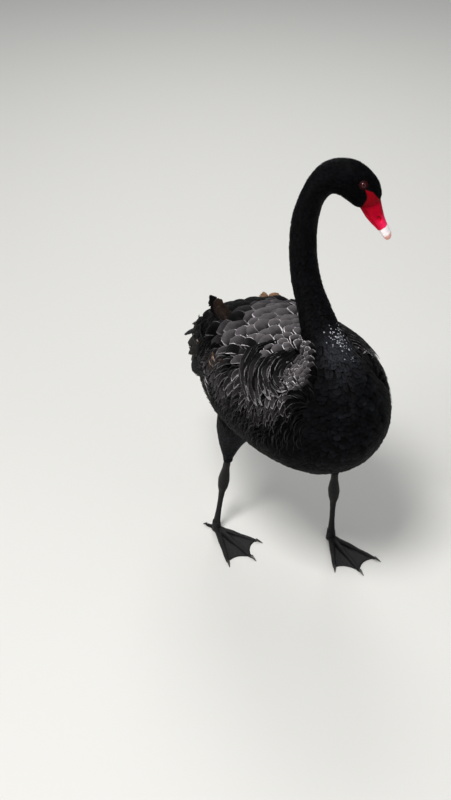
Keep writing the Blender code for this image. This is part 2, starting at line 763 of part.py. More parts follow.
def toe(name, start, direction, length, width, claw):
    """A toe of three joints that ends in a claw, flat side down."""
    side = np.cross(np.array([0, 0, 1.0]), direction)
    rings = []
    swell = (1.0, 0.86, 0.95, 0.76, 0.82, 0.62)
    for i, factor in enumerate(swell):
        t = i / (len(swell) - 1)
        half = width / 2 * factor * (1 - 0.25 * t)
        height = 0.011 * factor * (1 - 0.45 * t)
        centre = start + direction * length * t
        rings.append([centre + side * half * math.cos(a)
                      + np.array([0, 0, height * (0.35 + 0.65 * math.sin(a))])
                      for a in np.linspace(0, 2 * math.pi, 8, endpoint=False)])
    for t, half, low, high in ((0.35, 0.0026, -0.001, 0.0045), (1.0, 0.0006, -0.001, 0.0012)):
        centre = start + direction * (length + claw * t)
        rings.append([centre + side * half * math.cos(a)
                      + np.array([0, 0, (low + high) / 2 + (high - low) / 2 * math.sin(a)])
                      for a in np.linspace(0, 2 * math.pi, 8, endpoint=False)])
    return loft(name, rings)


def foot(name, side):
    """A webbed foot: three toes and a short hind toe, joined by a web, on a flat sole."""
    leg = LEGS[side]
    joint = place(*leg["joint"])
    ground = np.array([joint[0], joint[1], GROUND])
    outward = 1 if side == "left" else -1
    pieces = []
    tips = []
    for turn, length, width in TOES:
        heading = leg["toe_turn"] + turn * outward
        direction = np.array([math.sin(heading), -math.cos(heading), 0.0])
        pieces.append(toe("toe", ground, direction, length, width, CLAW_LENGTH))
        tips.append(ground + direction * length)
    web = [ground + (ground - tips[1]) * 0.02]
    web += [tips[0] * 0.98 + ground * 0.02, (tips[0] + tips[1]) * 0.46 + ground * 0.08,
            tips[1] * 0.96 + ground * 0.04, (tips[1] + tips[2]) * 0.46 + ground * 0.08,
            tips[2] * 0.98 + ground * 0.02]
    rise = np.array([0, 0, WEB_THICKNESS])
    sheet = [list(web), [p + rise for p in web]]
    count = len(web)
    faces = [(0, i, i + 1) for i in range(1, count - 1)]
    faces += [(count, count + i + 1, count + i) for i in range(1, count - 1)]
    for i in range(count):
        j = (i + 1) % count
        faces += [(j, i, count + i), (j, count + i, count + j)]
    low = np.array([0, 0, -0.001])
    pieces.append(solid("web", [p + low for p in sheet[0]] + sheet[1], faces))
    heading = leg["toe_turn"] - outward * 0.35
    back = -np.array([math.sin(heading), -math.cos(heading), 0.0])
    pieces.append(toe("hind toe", ground, back, HALLUX_LENGTH, 0.009, 0.007))
    stub_top = joint - np.array([0, 0, GAP])
    stub = tube("stub", [(ground + np.array([0, 0, 0.001]), 0.0085, 0.0100),
                         (stub_top, 0.0074, 0.0086)], 12)
    base = combine(name, stub, pieces, "UNION")
    reach = 0.3
    floor = tube("floor", [(ground - np.array([0, 0, 0.05]), reach, reach), (ground, reach, reach)],
                 8)
    return combine(name, base, [floor], "DIFFERENCE")


# The whole bird

def build():
    """Make every piece, give it its material and stand the bird over its origin."""
    clear_scene()
    down = material("black body feathers", "#0e0e10", 0.75)
    wing_feather = material("charcoal wing feathers", "#26252a", 0.7)
    bill_red = material("crimson bill", "#c8142c", 0.4)
    iris = material("dull red eye", "#6e1414", 0.15)
    scale = material("grey-black leg skin", "#232222", 0.6)
    made = [(torso(), down)]
    made.append((neck_length("neck_lower", NECK_ROOT_CUT, NECK_LOW_CUT, 8), down))
    made.append((neck_length("neck_middle", NECK_LOW_CUT, NECK_HIGH_CUT, 8), down))
    made.append((neck_length("neck_upper", NECK_HIGH_CUT, HEAD_CUT, 8), down))
    made.append((head(), down))
    made.append((tail(), wing_feather))
    made.append((bill_upper(), bill_red))
    made.append((bill_part("bill_lower", False, 0.985), bill_red))
    for side, way in (("right", -1), ("left", 1)):
        made.append((eye("eye_" + side, way), iris))
        made.append((wing("wing_" + side, way), wing_feather))
        made.append((thigh("thigh_" + side, side), down))
        made.append((shank("shank_" + side, side), scale))
        made.append((foot("foot_" + side, side), scale))
    swan = bpy.data.objects.new("swan", None)
    swan.location = (-MIDDLE_X, -MIDDLE_Y, -GROUND)
    bpy.context.scene.collection.objects.link(swan)
    for piece, finish in made:
        piece.data.materials.clear()
        piece.data.materials.append(finish)
        piece.data.shade_smooth()
        piece.data.set_sharp_from_angle(angle=math.radians(40))
        piece.parent = swan


build()
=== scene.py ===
"""Black swan, standing: the looks of a still, life-size model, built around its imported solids.

The bird faces -Y, its left side is +X and it stands on z = 0. All sizes are in metres.
"""

import json
import math

import bmesh
import bpy
import numpy as np
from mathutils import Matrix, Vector, kdtree

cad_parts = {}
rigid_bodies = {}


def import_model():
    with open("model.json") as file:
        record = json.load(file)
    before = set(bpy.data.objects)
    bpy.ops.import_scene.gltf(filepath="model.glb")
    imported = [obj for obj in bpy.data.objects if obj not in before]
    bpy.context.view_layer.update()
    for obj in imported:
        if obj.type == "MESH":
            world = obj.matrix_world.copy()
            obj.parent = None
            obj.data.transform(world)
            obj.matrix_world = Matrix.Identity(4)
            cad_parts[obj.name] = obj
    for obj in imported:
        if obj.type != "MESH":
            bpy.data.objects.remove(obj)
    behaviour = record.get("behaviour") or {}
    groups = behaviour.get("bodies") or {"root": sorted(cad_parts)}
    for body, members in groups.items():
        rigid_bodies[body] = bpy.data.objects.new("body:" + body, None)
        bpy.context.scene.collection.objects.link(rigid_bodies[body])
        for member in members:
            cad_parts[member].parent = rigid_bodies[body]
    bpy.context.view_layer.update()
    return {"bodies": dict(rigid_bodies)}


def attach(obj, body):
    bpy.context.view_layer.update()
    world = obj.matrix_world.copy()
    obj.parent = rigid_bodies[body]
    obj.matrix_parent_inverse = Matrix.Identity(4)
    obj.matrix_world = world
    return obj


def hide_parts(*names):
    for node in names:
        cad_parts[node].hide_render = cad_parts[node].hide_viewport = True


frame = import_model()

bl_info = {
    "name": "Standing black swan",
    "version": (1, 0, 0),
    "blender": (4, 5, 0),
    "location": "View3D > Sidebar > Swan",
    "description": "Skin, feathers, bill, eyes and legs over a black swan's solids",
    "category": "Add Mesh",
}

# The bird's own origin lies a little off the model's, which is under the middle of its box.
STAND = np.array([0.002, -0.026, 0.050])

# The form's stations from the rump to the bill's root. Each holds how far forward it lies,
# how far to the left and how high; the pitch of the ring's axis and its turn to the left, in
# degrees; the half width, the reach to the back, the reach to the belly; and the squareness
# of the section, where 2 is an ellipse. The solids were made from the same sizes.
STATIONS = np.array([
    (-0.232, 0.000, 0.325, -12, 0, 0.0340, 0.0200, 0.0320, 2.0),
    (-0.200, 0.000, 0.320, -8, 0, 0.0620, 0.0450, 0.0670, 2.0),
    (-0.140, 0.000, 0.316, -4, 0, 0.0960, 0.0865, 0.1090, 2.1),
    (-0.065, 0.000, 0.314, 0, 0, 0.1250, 0.1105, 0.1280, 2.1),
    (0.005, 0.000, 0.314, 4, 0, 0.1360, 0.1180, 0.1260, 2.05),
    (0.070, 0.000, 0.318, 12, 0, 0.1370, 0.1185, 0.1265, 2.0),
    (0.120, 0.000, 0.335, 30, 0, 0.1275, 0.1050, 0.1300, 1.95),
    (0.142, 0.000, 0.372, 54, 0, 0.0975, 0.0810, 0.1155, 1.95),
    (0.129, -0.001, 0.416, 81, 0, 0.0552, 0.0530, 0.0655, 2.0),
    (0.103, -0.002, 0.459, 103, 0, 0.0352, 0.0385, 0.0360, 2.0),
    (0.077, -0.004, 0.504, 108, 3, 0.0270, 0.0290, 0.0265, 2.0),
    (0.059, -0.008, 0.551, 102, 9, 0.0237, 0.0255, 0.0238, 2.0),
    (0.052, -0.010, 0.602, 96, 16, 0.0221, 0.0238, 0.0221, 2.0),
    (0.052, -0.008, 0.655, 84, 24, 0.0210, 0.0216, 0.0212, 2.0),
    (0.062, -0.002, 0.704, 62, 32, 0.0204, 0.0176, 0.0226, 2.0),
    (0.082, 0.012, 0.734, 22, 38, 0.0230, 0.0255, 0.0268, 2.0),
    (0.105, 0.031, 0.736, -20, 41, 0.0262, 0.0333, 0.0292, 2.0),
    (0.122, 0.046, 0.721, -48, 41, 0.0240, 0.0316, 0.0288, 2.0),
    (0.1310, 0.0535, 0.708, -57, 41, 0.0190, 0.0250, 0.0262, 2.0),
    (0.1366, 0.0582, 0.7004, -60, 41, 0.0145, 0.0158, 0.0212, 2.0),
])
LAST = len(STATIONS) - 1
HEAD_START = 14.6
NECK_START = 8.8

# Depth of the coat by station, from the rump to the bill's root.
COAT_STATIONS = (0.0, 1.0, 6.0, 8.5, 11.0, 15.0, 17.0, 18.5, 19.0)
COAT_DEPTHS = (0.0040, 0.0060, 0.0065, 0.0052, 0.0034, 0.0026, 0.0018, 0.0010, 0.0003)
WING_DEPTH = 0.0030

# The folded wing: the stations where it starts and ends.
WING_FRONT = 5.95
WING_BACK = 0.95

# Lower bound of the back's and wings' rimmed feathers, in degrees from the back, by station.
MANTLE_STATIONS = (0.3, 1.0, 2.0, 3.0, 6.0, 7.5, 8.0, 8.5, 8.9)
MANTLE_TURNS = (66, 82, 96, 102, 108, 110, 112, 118, 120)

# The head's frame: its turn to the left, and the bill's pitch and root.
HEAD_TURN = math.radians(41)
BILL_PITCH = math.radians(-60)
BILL_ROOT = (0.1366, 0.0582, 0.7004)

# Bare red skin between bill and eye: how far back along the bill, then its upper and lower
# edges above the bill's middle line.
LORE_BACK = (-0.0345, -0.0300, -0.0248, -0.0192, -0.0088, 0.0)
LORE_TOP = (0.0076, 0.0086, 0.0122, 0.0160, 0.0165, 0.0170)
LORE_LOW_BACK = (-0.0345, -0.0262, -0.0180, -0.0127, -0.0050, 0.0008)
LORE_LOW = (0.0070, 0.0064, 0.0044, 0.0004, -0.0112, -0.0240)
LORE_INNER = 0.0050

# The eye's place from the bill's root, back along the bill and up.
EYE_BACK = 0.0385
EYE_UP = 0.0085

# Each leg: thigh knots inside the feathers, then the hock and the toes' joint.
LEGS = {
    "right": {
        "thigh": ((-0.046, -0.056, 0.234, 0.046), (-0.063, -0.063, 0.187, 0.0345),
                  (-0.0705, -0.0710, 0.150, 0.0190), (-0.0715, -0.0735, 0.1275, 0.0112),
                  (-0.0730, -0.0740, 0.1165, 0.0074)),
        "hock": (-0.0833, -0.0765, 0.0580),
        "joint": (-0.0748, -0.0992, -0.0330),
        "toe_turn": math.radians(4),
    },
    "left": {
        "thigh": ((0.038, 0.055, 0.234, 0.046), (0.052, 0.062, 0.187, 0.0345),
                  (0.063, 0.0695, 0.150, 0.0190), (0.0672, 0.0722, 0.1275, 0.0112),
                  (0.0674, 0.0724, 0.1165, 0.0074)),
        "hock": (0.0661, 0.0735, 0.0645),
        "joint": (0.0712, 0.0688, -0.0330),
        "toe_turn": math.radians(-6),
    },
}
TOES = (
    (math.radians(-27), 0.086, 0.0125),
    (math.radians(-1), 0.108, 0.0135),
    (math.radians(25), 0.101, 0.0130),
)
CLAW_LENGTH = 0.012
HALLUX_LENGTH = 0.024

# The wing's long vanes, raised and ragged: root along and across the wing, the tip's place
# forward, outward and up, the width and the lie of the root below level. The left wing's
# foremost one lies lower than the right one's.
WING_TIPS = (
    (0.70, -0.62, (-0.168, 0.050, 0.417), 0.034, 4),
    (0.74, -0.38, (-0.190, 0.050, 0.366), 0.034, 8),
    (0.76, -0.10, (-0.221, 0.051, 0.325), 0.044, 14),
    (0.76, 0.18, (-0.236, 0.056, 0.282), 0.044, 20),
    (0.75, 0.44, (-0.214, 0.063, 0.256), 0.040, 26),
    (0.86, -0.20, (-0.226, 0.034, 0.302), 0.026, 14),
    (0.86, 0.16, (-0.234, 0.037, 0.284), 0.026, 18),
    (0.85, 0.46, (-0.228, 0.044, 0.268), 0.026, 22),
)
LEFT_TIP = (-0.166, 0.070, 0.386)

# The tail's spread each way in degrees, and its droop.
TAIL_SPREAD = 15
TAIL_DROOP = math.radians(34)

# A coat patch on the baking map, about this wide.
PATCH = 0.003


# Shapes shared by many pieces

def smooth(x):
    """Rise gently from 0 to 1 as x does."""
    x = np.clip(x, 0.0, 1.0)
    return x * x * (3 - 2 * x)


def unit(v):
    """The same directions with length 1."""
    return v / np.maximum(np.linalg.norm(v, axis=-1, keepdims=True), 1e-9)


def station(s):
    """Values of the form's stations at s, on a smooth curve through them."""
    s = np.clip(np.asarray(s, float), 0.0, LAST)
    i = np.minimum(s.astype(int), LAST - 1)
    t = (s - i)[..., None]
    p0, p1 = STATIONS[np.maximum(i - 1, 0)], STATIONS[i]
    p2, p3 = STATIONS[i + 1], STATIONS[np.minimum(i + 2, LAST)]
    return 0.5 * (2 * p1 + (p2 - p0) * t + (2 * p0 - 5 * p1 + 4 * p2 - p3) * t ** 2
                  + (3 * p1 - p0 - 3 * p2 + p3) * t ** 3)


def form(s, turn):
    """Point of the outer form at station s, turned from the back towards the left."""
    s, turn = np.broadcast_arrays(np.asarray(s, float), np.asarray(turn, float))
    row = station(s)
    pitch, yaw = np.radians(row[..., 3]), np.radians(row[..., 4])
    centre = np.stack([row[..., 1], -row[..., 0], row[..., 2]], -1) + STAND
    left = np.stack([np.cos(yaw), np.sin(yaw), np.zeros_like(yaw)], -1)
    axis = np.stack([np.cos(pitch) * np.sin(yaw), -np.cos(pitch) * np.cos(yaw),
                     np.sin(pitch)], -1)
    up = np.cross(axis, left)
    side, rise = np.sin(turn), np.cos(turn)
    power = row[..., 8]
    reach = (np.abs(side) ** power + np.abs(rise) ** power) ** (-1 / power)
    height = np.where(rise > 0, row[..., 6], row[..., 7])
    return (centre + left * (row[..., 5] * side * reach)[..., None]
            + up * (height * rise * reach)[..., None])


def form_normal(s, turn, step=0.02):
    """Outward direction of the form."""
    s = np.clip(s, 0, LAST)
    along = form(np.minimum(s + step, LAST), turn) - form(np.maximum(s - step, 0), turn)
    across = form(s, turn + step) - form(s, turn - step)
    return unit(np.cross(along, across))


def wrapped(turn):
    """The same turn between half a turn right and half a turn left."""
    return (turn + math.pi) % (2 * math.pi) - math.pi


def head_frame():
    """Root of the bill and the head's axes: along the bill, left and up."""
    forward, left_by, height = BILL_ROOT
    root = np.array([left_by, -forward, height]) + STAND
    ahead = np.array([math.sin(HEAD_TURN), -math.cos(HEAD_TURN), 0.0])
    left = np.array([math.cos(HEAD_TURN), math.sin(HEAD_TURN), 0.0])
    along = ahead * math.cos(BILL_PITCH) + np.array([0, 0, math.sin(BILL_PITCH)])
    return root, along, left, np.cross(along, left)


def in_head(points):
    """Distances of points from the bill's root along it, to the left and up."""
    root, along, left, up = head_frame()
    off = points - root
    return off @ along, off @ left, off @ up


def lore(points, edge=0.0012):
    """Share of bare red skin at points of the head, from 0 to 1."""
    along, left, up = in_head(points)
    above = np.interp(along, LORE_BACK, LORE_TOP) - up
    below = up - np.interp(along, LORE_LOW_BACK, LORE_LOW)
    inner = np.abs(left) - LORE_INNER
    depth = np.minimum(np.minimum(above, below), np.minimum(inner, along - LORE_BACK[0]))
    return np.where(along > -0.06, smooth(depth / edge), 0.0)


def eye_seat(side):
    """Point of the head's form at an eye and the direction out of it, side 1 for the left."""
    root, along, left, up = head_frame()
    target = root - along * EYE_BACK + up * EYE_UP
    s = np.linspace(15, LAST, 200)
    turn = np.radians(np.linspace(20, 150, 200))
    points = form(s[:, None], side * turn[None, :])
    off = points - target
    off -= (off @ left)[..., None] * left
    i, k = np.unravel_index(np.argmin((off ** 2).sum(-1)), off.shape[:2])
    return points[i, k], form_normal(s[i], side * turn[k])


def mantle(s, turn):
    """Whether places lie under the rimmed feathers of the back and the folded wings."""
    down = np.degrees(np.abs(wrapped(turn)))
    inside = (down < np.interp(s, MANTLE_STATIONS, MANTLE_TURNS)) & (s < 8.75)
    # The back of the neck's root is black down to the saddle.
    return inside & (down >= np.interp(s, (6.6, 7.4, 8.8), (0, 38, 58)))


def coat_depth(s, turn):
    """How far the skin lies inside the form."""
    depth = np.interp(s, COAT_STATIONS, COAT_DEPTHS)
    lower = np.radians(np.interp(s, MANTLE_STATIONS, MANTLE_TURNS))
    wing = smooth((lower - np.abs(wrapped(turn))) / 0.25) * smooth((s - 0.6) / 0.6)
    wing = wing * smooth((8.3 - s) / 1.2)
    points = form(s, turn)
    bare = np.where(np.asarray(s) > 15, lore(points), 0.0)
    return (depth + WING_DEPTH * wing) * (1 - 0.85 * bare)


def glide(s, turn, way, distance, steps=4):
    """Move over the form along a direction; returns the new stations and turns."""
    small = 0.004
    for _ in range(steps):
        here = form(s, turn)
        a = (form(s + small, turn) - form(s - small, turn)) / (2 * small)
        b = (form(s, turn + small) - form(s, turn - small)) / (2 * small)
        aa, ab, bb = (a * a).sum(-1), (a * b).sum(-1), (b * b).sum(-1)
        aw, bw = (a * way).sum(-1), (b * way).sum(-1)
        det = np.maximum(aa * bb - ab * ab, 1e-14)
        move_s, move_t = (aw * bb - bw * ab) / det, (bw * aa - aw * ab) / det
        moved = np.linalg.norm(a * move_s[..., None] + b * move_t[..., None], axis=-1)
        scale = distance / steps / np.maximum(moved, 1e-9)
        s = np.clip(s + move_s * scale, 0.02, LAST - 0.02)
        turn = turn + move_t * scale
    return s, turn


# Meshes, materials and nodes

def colour(hex_colour):
    """Turn a web colour into the linear colour that a shader takes."""
    parts = [int(hex_colour[i:i + 2], 16) / 255 for i in (1, 3, 5)]
    return [p / 12.92 if p <= 0.04045 else ((p + 0.055) / 1.055) ** 2.4 for p in parts] + [1.0]


def node(tree, kind, settings=None, links=None):
    """Add a node, set its properties and sockets, and link what feeds it."""
    made = tree.nodes.new(kind)
    for name, value in (settings or {}).items():
        if isinstance(name, int):
            made.inputs[name].default_value = value
        elif hasattr(made, name):
            setattr(made, name, value)
        else:
            made.inputs[name].default_value = value
    for name, source in (links or {}).items():
        tree.links.new(source, made.inputs[name])
    return made


def mesh_object(name, points, faces, smooth_shade=True):
    """A mesh object at the origin with its place in its mesh."""
    mesh = bpy.data.meshes.new(name)
    mesh.from_pydata([tuple(p) for p in np.asarray(points, float)], [], faces)
    mesh.validate()
    if smooth_shade:
        mesh.shade_smooth()
    made = bpy.data.objects.new(name, mesh)
    bpy.context.scene.collection.objects.link(made)
    return made


def outward(thing):
    """Turn a closed mesh's faces outwards."""
    sheet = bmesh.new()
    sheet.from_mesh(thing.data)
    bmesh.ops.remove_doubles(sheet, verts=sheet.verts, dist=1e-6)
    bmesh.ops.recalc_face_normals(sheet, faces=sheet.faces)
    sheet.to_mesh(thing.data)
    sheet.free()
    return thing


def loft(name, rings, values=None):
    """A closed tube through rings of points, with a fan over each end."""
    rings = np.asarray(rings, float)
    count, around = rings.shape[:2]
    points = np.concatenate([rings.reshape(-1, 3), [rings[0].mean(0), rings[-1].mean(0)]])
    faces = []
    for i in range(count - 1):
        for k in range(around):
            a, b = i * around + k, i * around + (k + 1) % around
            faces.append((a, b, b + around, a + around))
    first, last, top = count * around, count * around + 1, (count - 1) * around
    for k in range(around):
        faces.append((first, (k + 1) % around, k))
        faces.append((last, top + k, top + (k + 1) % around))
    made = mesh_object(name, points, faces)
    for key, rows in (values or {}).items():
        rows = np.asarray(rows, float)
        flat = np.concatenate([rows.reshape(-1), [rows[0].mean(), rows[-1].mean()]])
        give(made, key, flat)
    return outward(made)


def give(thing, key, values):
    """Store one number for each point of a mesh."""
    attribute = thing.data.attributes.new(key, "FLOAT", "POINT")
    attribute.data.foreach_set("value", np.asarray(values, np.float32).reshape(-1))


def as_mesh(thing):
    """Give an object the mesh that its modifiers make, and remove them."""
    evaluated = thing.evaluated_get(bpy.context.evaluated_depsgraph_get())
    made = bpy.data.meshes.new_from_object(evaluated)
    thing.modifiers.clear()
    old = thing.data
    thing.data = made
    made.name = thing.name
    bpy.data.meshes.remove(old)
    return thing


def join(name, pieces):
    """Several mesh objects as one."""
    with bpy.context.temp_override(active_object=pieces[0], object=pieces[0],
                                   selected_objects=pieces, selected_editable_objects=pieces):
        bpy.ops.object.join()
    pieces[0].name = name
    pieces[0].data.name = name
    return pieces[0]


def finish_piece(piece, slot, *nodes):
    """Fix a finished piece to the bird's one body and hide the solids that it replaces."""
    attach(piece, next(iter(frame["bodies"])))
    if nodes:
        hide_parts(*nodes)
    return piece


# Feathers: forms, the tree that lays them and where they grow

def feather_form(name, rows, columns, outline, camber, under, ragged=0.0):
    """One feather in units: x is the share of its half width, y runs from root to tip.

    A rim of narrow faces runs round the tip, and the value edge is 1 on the outline. A
    ragged vane is split along its edges, where barbs have come apart."""
    vs = np.asarray(rows, float)
    us = np.asarray(columns, float)
    wide = np.interp(vs, *outline)
    chance = np.random.default_rng(len(name) + int(1000 * camber) + int(name[-1]))
    split = chance.uniform(-1, 1, (len(vs), 2)) * (vs > 0.4)[:, None]
    split = 1 - ragged * np.where(split > 0.45, 1.6, np.abs(split))

    def rim(i, u):
        return wide[i] * (1 + (split[i, int(u > 0)] - 1) * u * u)

    top = [(u * rim(i, u), v, camber * (1 - u * u) * wide[i], u, v,
            float(abs(u) == 1 or v == vs[-1])) for i, v in enumerate(vs) for u in us]
    bottom_us = us if under else us[[0, -1]]
    bottom = [(u * rim(i, u), v, camber * (1 - u * u) * wide[i] * 0.75 - under, u, v,
               float(abs(u) == 1 or v == vs[-1])) for i, v in enumerate(vs)
              for u in bottom_us]
    n, m, count = len(us), len(bottom_us), len(vs)
    faces = []
    for i in range(count - 1):
        for k in range(n - 1):
            a = i * n + k
            faces.append((a, a + 1, a + 1 + n, a + n))
        for k in range(m - 1):
            a = count * n + i * m + k
            faces.append((a, a + m, a + 1 + m, a + 1))
    low = count * n
    for i in range(count - 1):
        faces.append((i * n, (i + 1) * n, low + (i + 1) * m, low + i * m))
        a, b = i * n + n - 1, low + i * m + m - 1
        faces.append((a, b, b + m, a + n))
    root = list(range(n)) + [low + k for k in range(m - 1, -1, -1)]
    tip = [(count - 1) * n + k for k in range(n - 1, -1, -1)]
    tip += [low + (count - 1) * m + k for k in range(m)]
    faces += [tuple(reversed(root)), tuple(reversed(tip))]
    points = np.array(top + bottom)
    if not under:
        merged = {}
        for i in range(count):
            merged[low + i * m] = i * n
            merged[low + i * m + 1] = i * n + n - 1
        faces = [tuple(dict.fromkeys(merged.get(p, p) for p in face)) for face in faces]
        faces = [face for face in faces if len(face) > 2]
        points = points[:low]
    made = mesh_object(name, points[:, :3], faces)
    vane = made.data.attributes.new("vane", "FLOAT_VECTOR", "POINT")
    vane.data.foreach_set("vector", points[:, 3:6].astype(np.float32).reshape(-1))
    form_point = made.data.attributes.new("unit", "FLOAT_VECTOR", "POINT")
    form_point.data.foreach_set("vector", points[:, :3].astype(np.float32).reshape(-1))
    return made


def feather_tree():
    """A Geometry Nodes tree that bends one form of feather to every root it is given."""
    tree = bpy.data.node_groups.new("laid feathers", "GeometryNodeTree")
    face = tree.interface
    face.new_socket("Roots", in_out="INPUT", socket_type="NodeSocketGeometry")
    face.new_socket("Forms", in_out="INPUT", socket_type="NodeSocketCollection")
    face.new_socket("Vane material", in_out="INPUT", socket_type="NodeSocketMaterial")
    patch = face.new_socket("Patch width", in_out="INPUT", socket_type="NodeSocketFloat")
    patch.default_value = PATCH
    face.new_socket("Feathers", in_out="OUTPUT", socket_type="NodeSocketGeometry")
    given = node(tree, "NodeGroupInput").outputs

    def value(name, data_type="FLOAT_VECTOR"):
        found = node(tree, "GeometryNodeInputNamedAttribute", {"data_type": data_type,
                                                                "Name": name})
        return found.outputs["Attribute"]

    def mixed(factor, a, b):
        return node(tree, "ShaderNodeMix", {"data_type": "VECTOR"},
                    {0: factor, 4: a, 5: b}).outputs[1]

    def vector(operation, *sources):
        made = node(tree, "ShaderNodeVectorMath", {"operation": operation})
        for i, source in enumerate(sources):
            tree.links.new(source, made.inputs[i])
        return made

    forms = node(tree, "GeometryNodeCollectionInfo", {"Separate Children": True,
                                                      "Reset Children": True},
                 {"Collection": given["Forms"]})
    laid = node(tree, "GeometryNodeInstanceOnPoints", {"Pick Instance": True},
                {"Points": given["Roots"], "Instance": forms.outputs[0],
                 "Instance Index": value("kind", "INT")})
    real = node(tree, "GeometryNodeRealizeInstances", None, {"Geometry": laid.outputs[0]})
    unit_place = node(tree, "ShaderNodeSeparateXYZ", None, {"Vector": value("unit")})
    along = unit_place.outputs["Y"]
    near = mixed(along, value("root"), value("bend"))
    far = mixed(along, value("bend"), value("tip"))
    spine = mixed(along, near, far)
    side = vector("SCALE", value("across"))
    tree.links.new(unit_place.outputs["X"], side.inputs["Scale"])
    width = vector("LENGTH", value("across"))
    height = node(tree, "ShaderNodeMath", {"operation": "MULTIPLY"},
                  {0: width.outputs["Value"], 1: unit_place.outputs["Z"]})
    rise = vector("SCALE", mixed(along, value("rise"), value("tip_rise")))
    tree.links.new(height.outputs[0], rise.inputs["Scale"])
    place = vector("ADD", vector("ADD", spine, side.outputs[0]).outputs[0], rise.outputs[0])
    bent = node(tree, "GeometryNodeSetPosition", None,
                {"Geometry": real.outputs[0], "Position": place.outputs[0]})
    centred = vector("SUBTRACT", value("unit"))
    centred.inputs[1].default_value = (0.0, 0.5, 0.0)
    spread = vector("SCALE", centred.outputs[0])
    tree.links.new(given["Patch width"], spread.inputs["Scale"])
    spot = vector("ADD", value("map_place"), spread.outputs[0])
    mapped = node(tree, "GeometryNodeStoreNamedAttribute",
                  {"data_type": "FLOAT2", "domain": "CORNER", "Name": "OFBake"},
                  {"Geometry": bent.outputs[0], "Value": spot.outputs[0]})
    coloured = node(tree, "GeometryNodeSetMaterial", None,
                    {"Geometry": mapped.outputs[0], "Material": given["Vane material"]})
    node(tree, "NodeGroupOutput", None, {"Feathers": coloured.outputs[0]})
    return tree


def lay(name, tree, forms, material, roots):
    """A mesh of feathers: one bent form at each root."""
    cloud = bpy.data.meshes.new(name)
    count = len(roots["root"])
    cloud.from_pydata([tuple(p) for p in roots["root"]], [], [])
    for key in ("root", "bend", "tip", "across", "rise", "tip_rise", "map_place", "tone"):
        attribute = cloud.attributes.new(key, "FLOAT_VECTOR", "POINT")
        attribute.data.foreach_set("vector", np.asarray(roots[key], np.float32).reshape(-1))
    kind = cloud.attributes.new("kind", "INT", "POINT")
    kind.data.foreach_set("value", np.asarray(roots["kind"], np.int32))
    thing = bpy.data.objects.new(name, cloud)
    bpy.context.scene.collection.objects.link(thing)
    laid = thing.modifiers.new("feathers", "NODES")
    laid.node_group = tree
    sockets = {item.name: item.identifier for item in tree.interface.items_tree
               if item.item_type == "SOCKET" and item.in_out == "INPUT"}
    laid[sockets["Forms"]] = forms
    laid[sockets["Vane material"]] = material
    laid[sockets["Patch width"]] = PATCH
    as_mesh(thing)
    for key in ("root", "bend", "tip", "across", "rise", "tip_rise", "map_place", "unit",
                "kind"):
        found = thing.data.attributes.get(key)
        if found:
            thing.data.attributes.remove(found)
    thing.data.shade_smooth()
    thing.data.set_sharp_from_angle(angle=math.radians(75))
    thing.data.uv_layers["OFBake"].active = True
    thing.data.uv_layers["OFBake"].active_render = True
    print(name, count, "feathers,", len(thing.data.polygons), "faces")
    return thing


def map_place(s, turn):
    """Place on the unwrap of the skin, which is opened along the belly."""
    u = wrapped(turn) / (2 * math.pi) + 0.5
    return np.stack([0.02 + 0.96 * u, 0.02 + 0.96 * np.asarray(s) / LAST,
                     np.zeros_like(u)], -1)


def scatter(chosen, spacing, seed, lie=None, stretch=1.0, oversample=6):
    """Stations and turns spread evenly over the form where chosen, spacing apart.

    With a lie they stand in rows along it, and the rows are stretch times further apart."""
    chance = np.random.default_rng(seed)
    s_edges = np.linspace(0.05, LAST, 760)
    t_edges = np.radians(np.arange(-180, 180, 2.0))
    s, t = np.meshgrid(s_edges, t_edges, indexing="ij")
    step_s, step_t = s_edges[1] - s_edges[0], math.radians(2.0)
    a = form(np.minimum(s + step_s, LAST), t) - form(s, t)
    b = form(s, t + step_t) - form(s, t)
    area = np.linalg.norm(np.cross(a, b), axis=-1) * chosen(s, t)
    weight = (area / spacing(s, t) ** 2).reshape(-1)
    total = int(weight.sum() * oversample)
    picked = chance.choice(len(weight), total, p=weight / weight.sum())
    s = s.reshape(-1)[picked] + chance.random(total) * step_s
    t = t.reshape(-1)[picked] + chance.random(total) * step_t
    keep = chosen(s, t) & (s < LAST)
    s, t = s[keep], t[keep]
    points, gap = form(s, t), spacing(s, t)
    tree = kdtree.KDTree(len(s))
    for i, p in enumerate(points):
        tree.insert(p, i)
    tree.balance()
    way = unit(lie(s, t)) if lie else np.zeros((len(s), 3))
    free = np.ones(len(s), bool)
    kept = []
    for i in range(len(s)):
        if free[i]:
            kept.append(i)
            near = np.array([j for _, j, _ in tree.find_range(points[i], gap[i] * stretch)])
            off = points[near] - points[i]
            along = off @ way[i]
            across = (off ** 2).sum(-1) - along ** 2
            free[near[along ** 2 + across / stretch ** 2 < gap[i] ** 2]] = False
    return s[kept], t[kept]


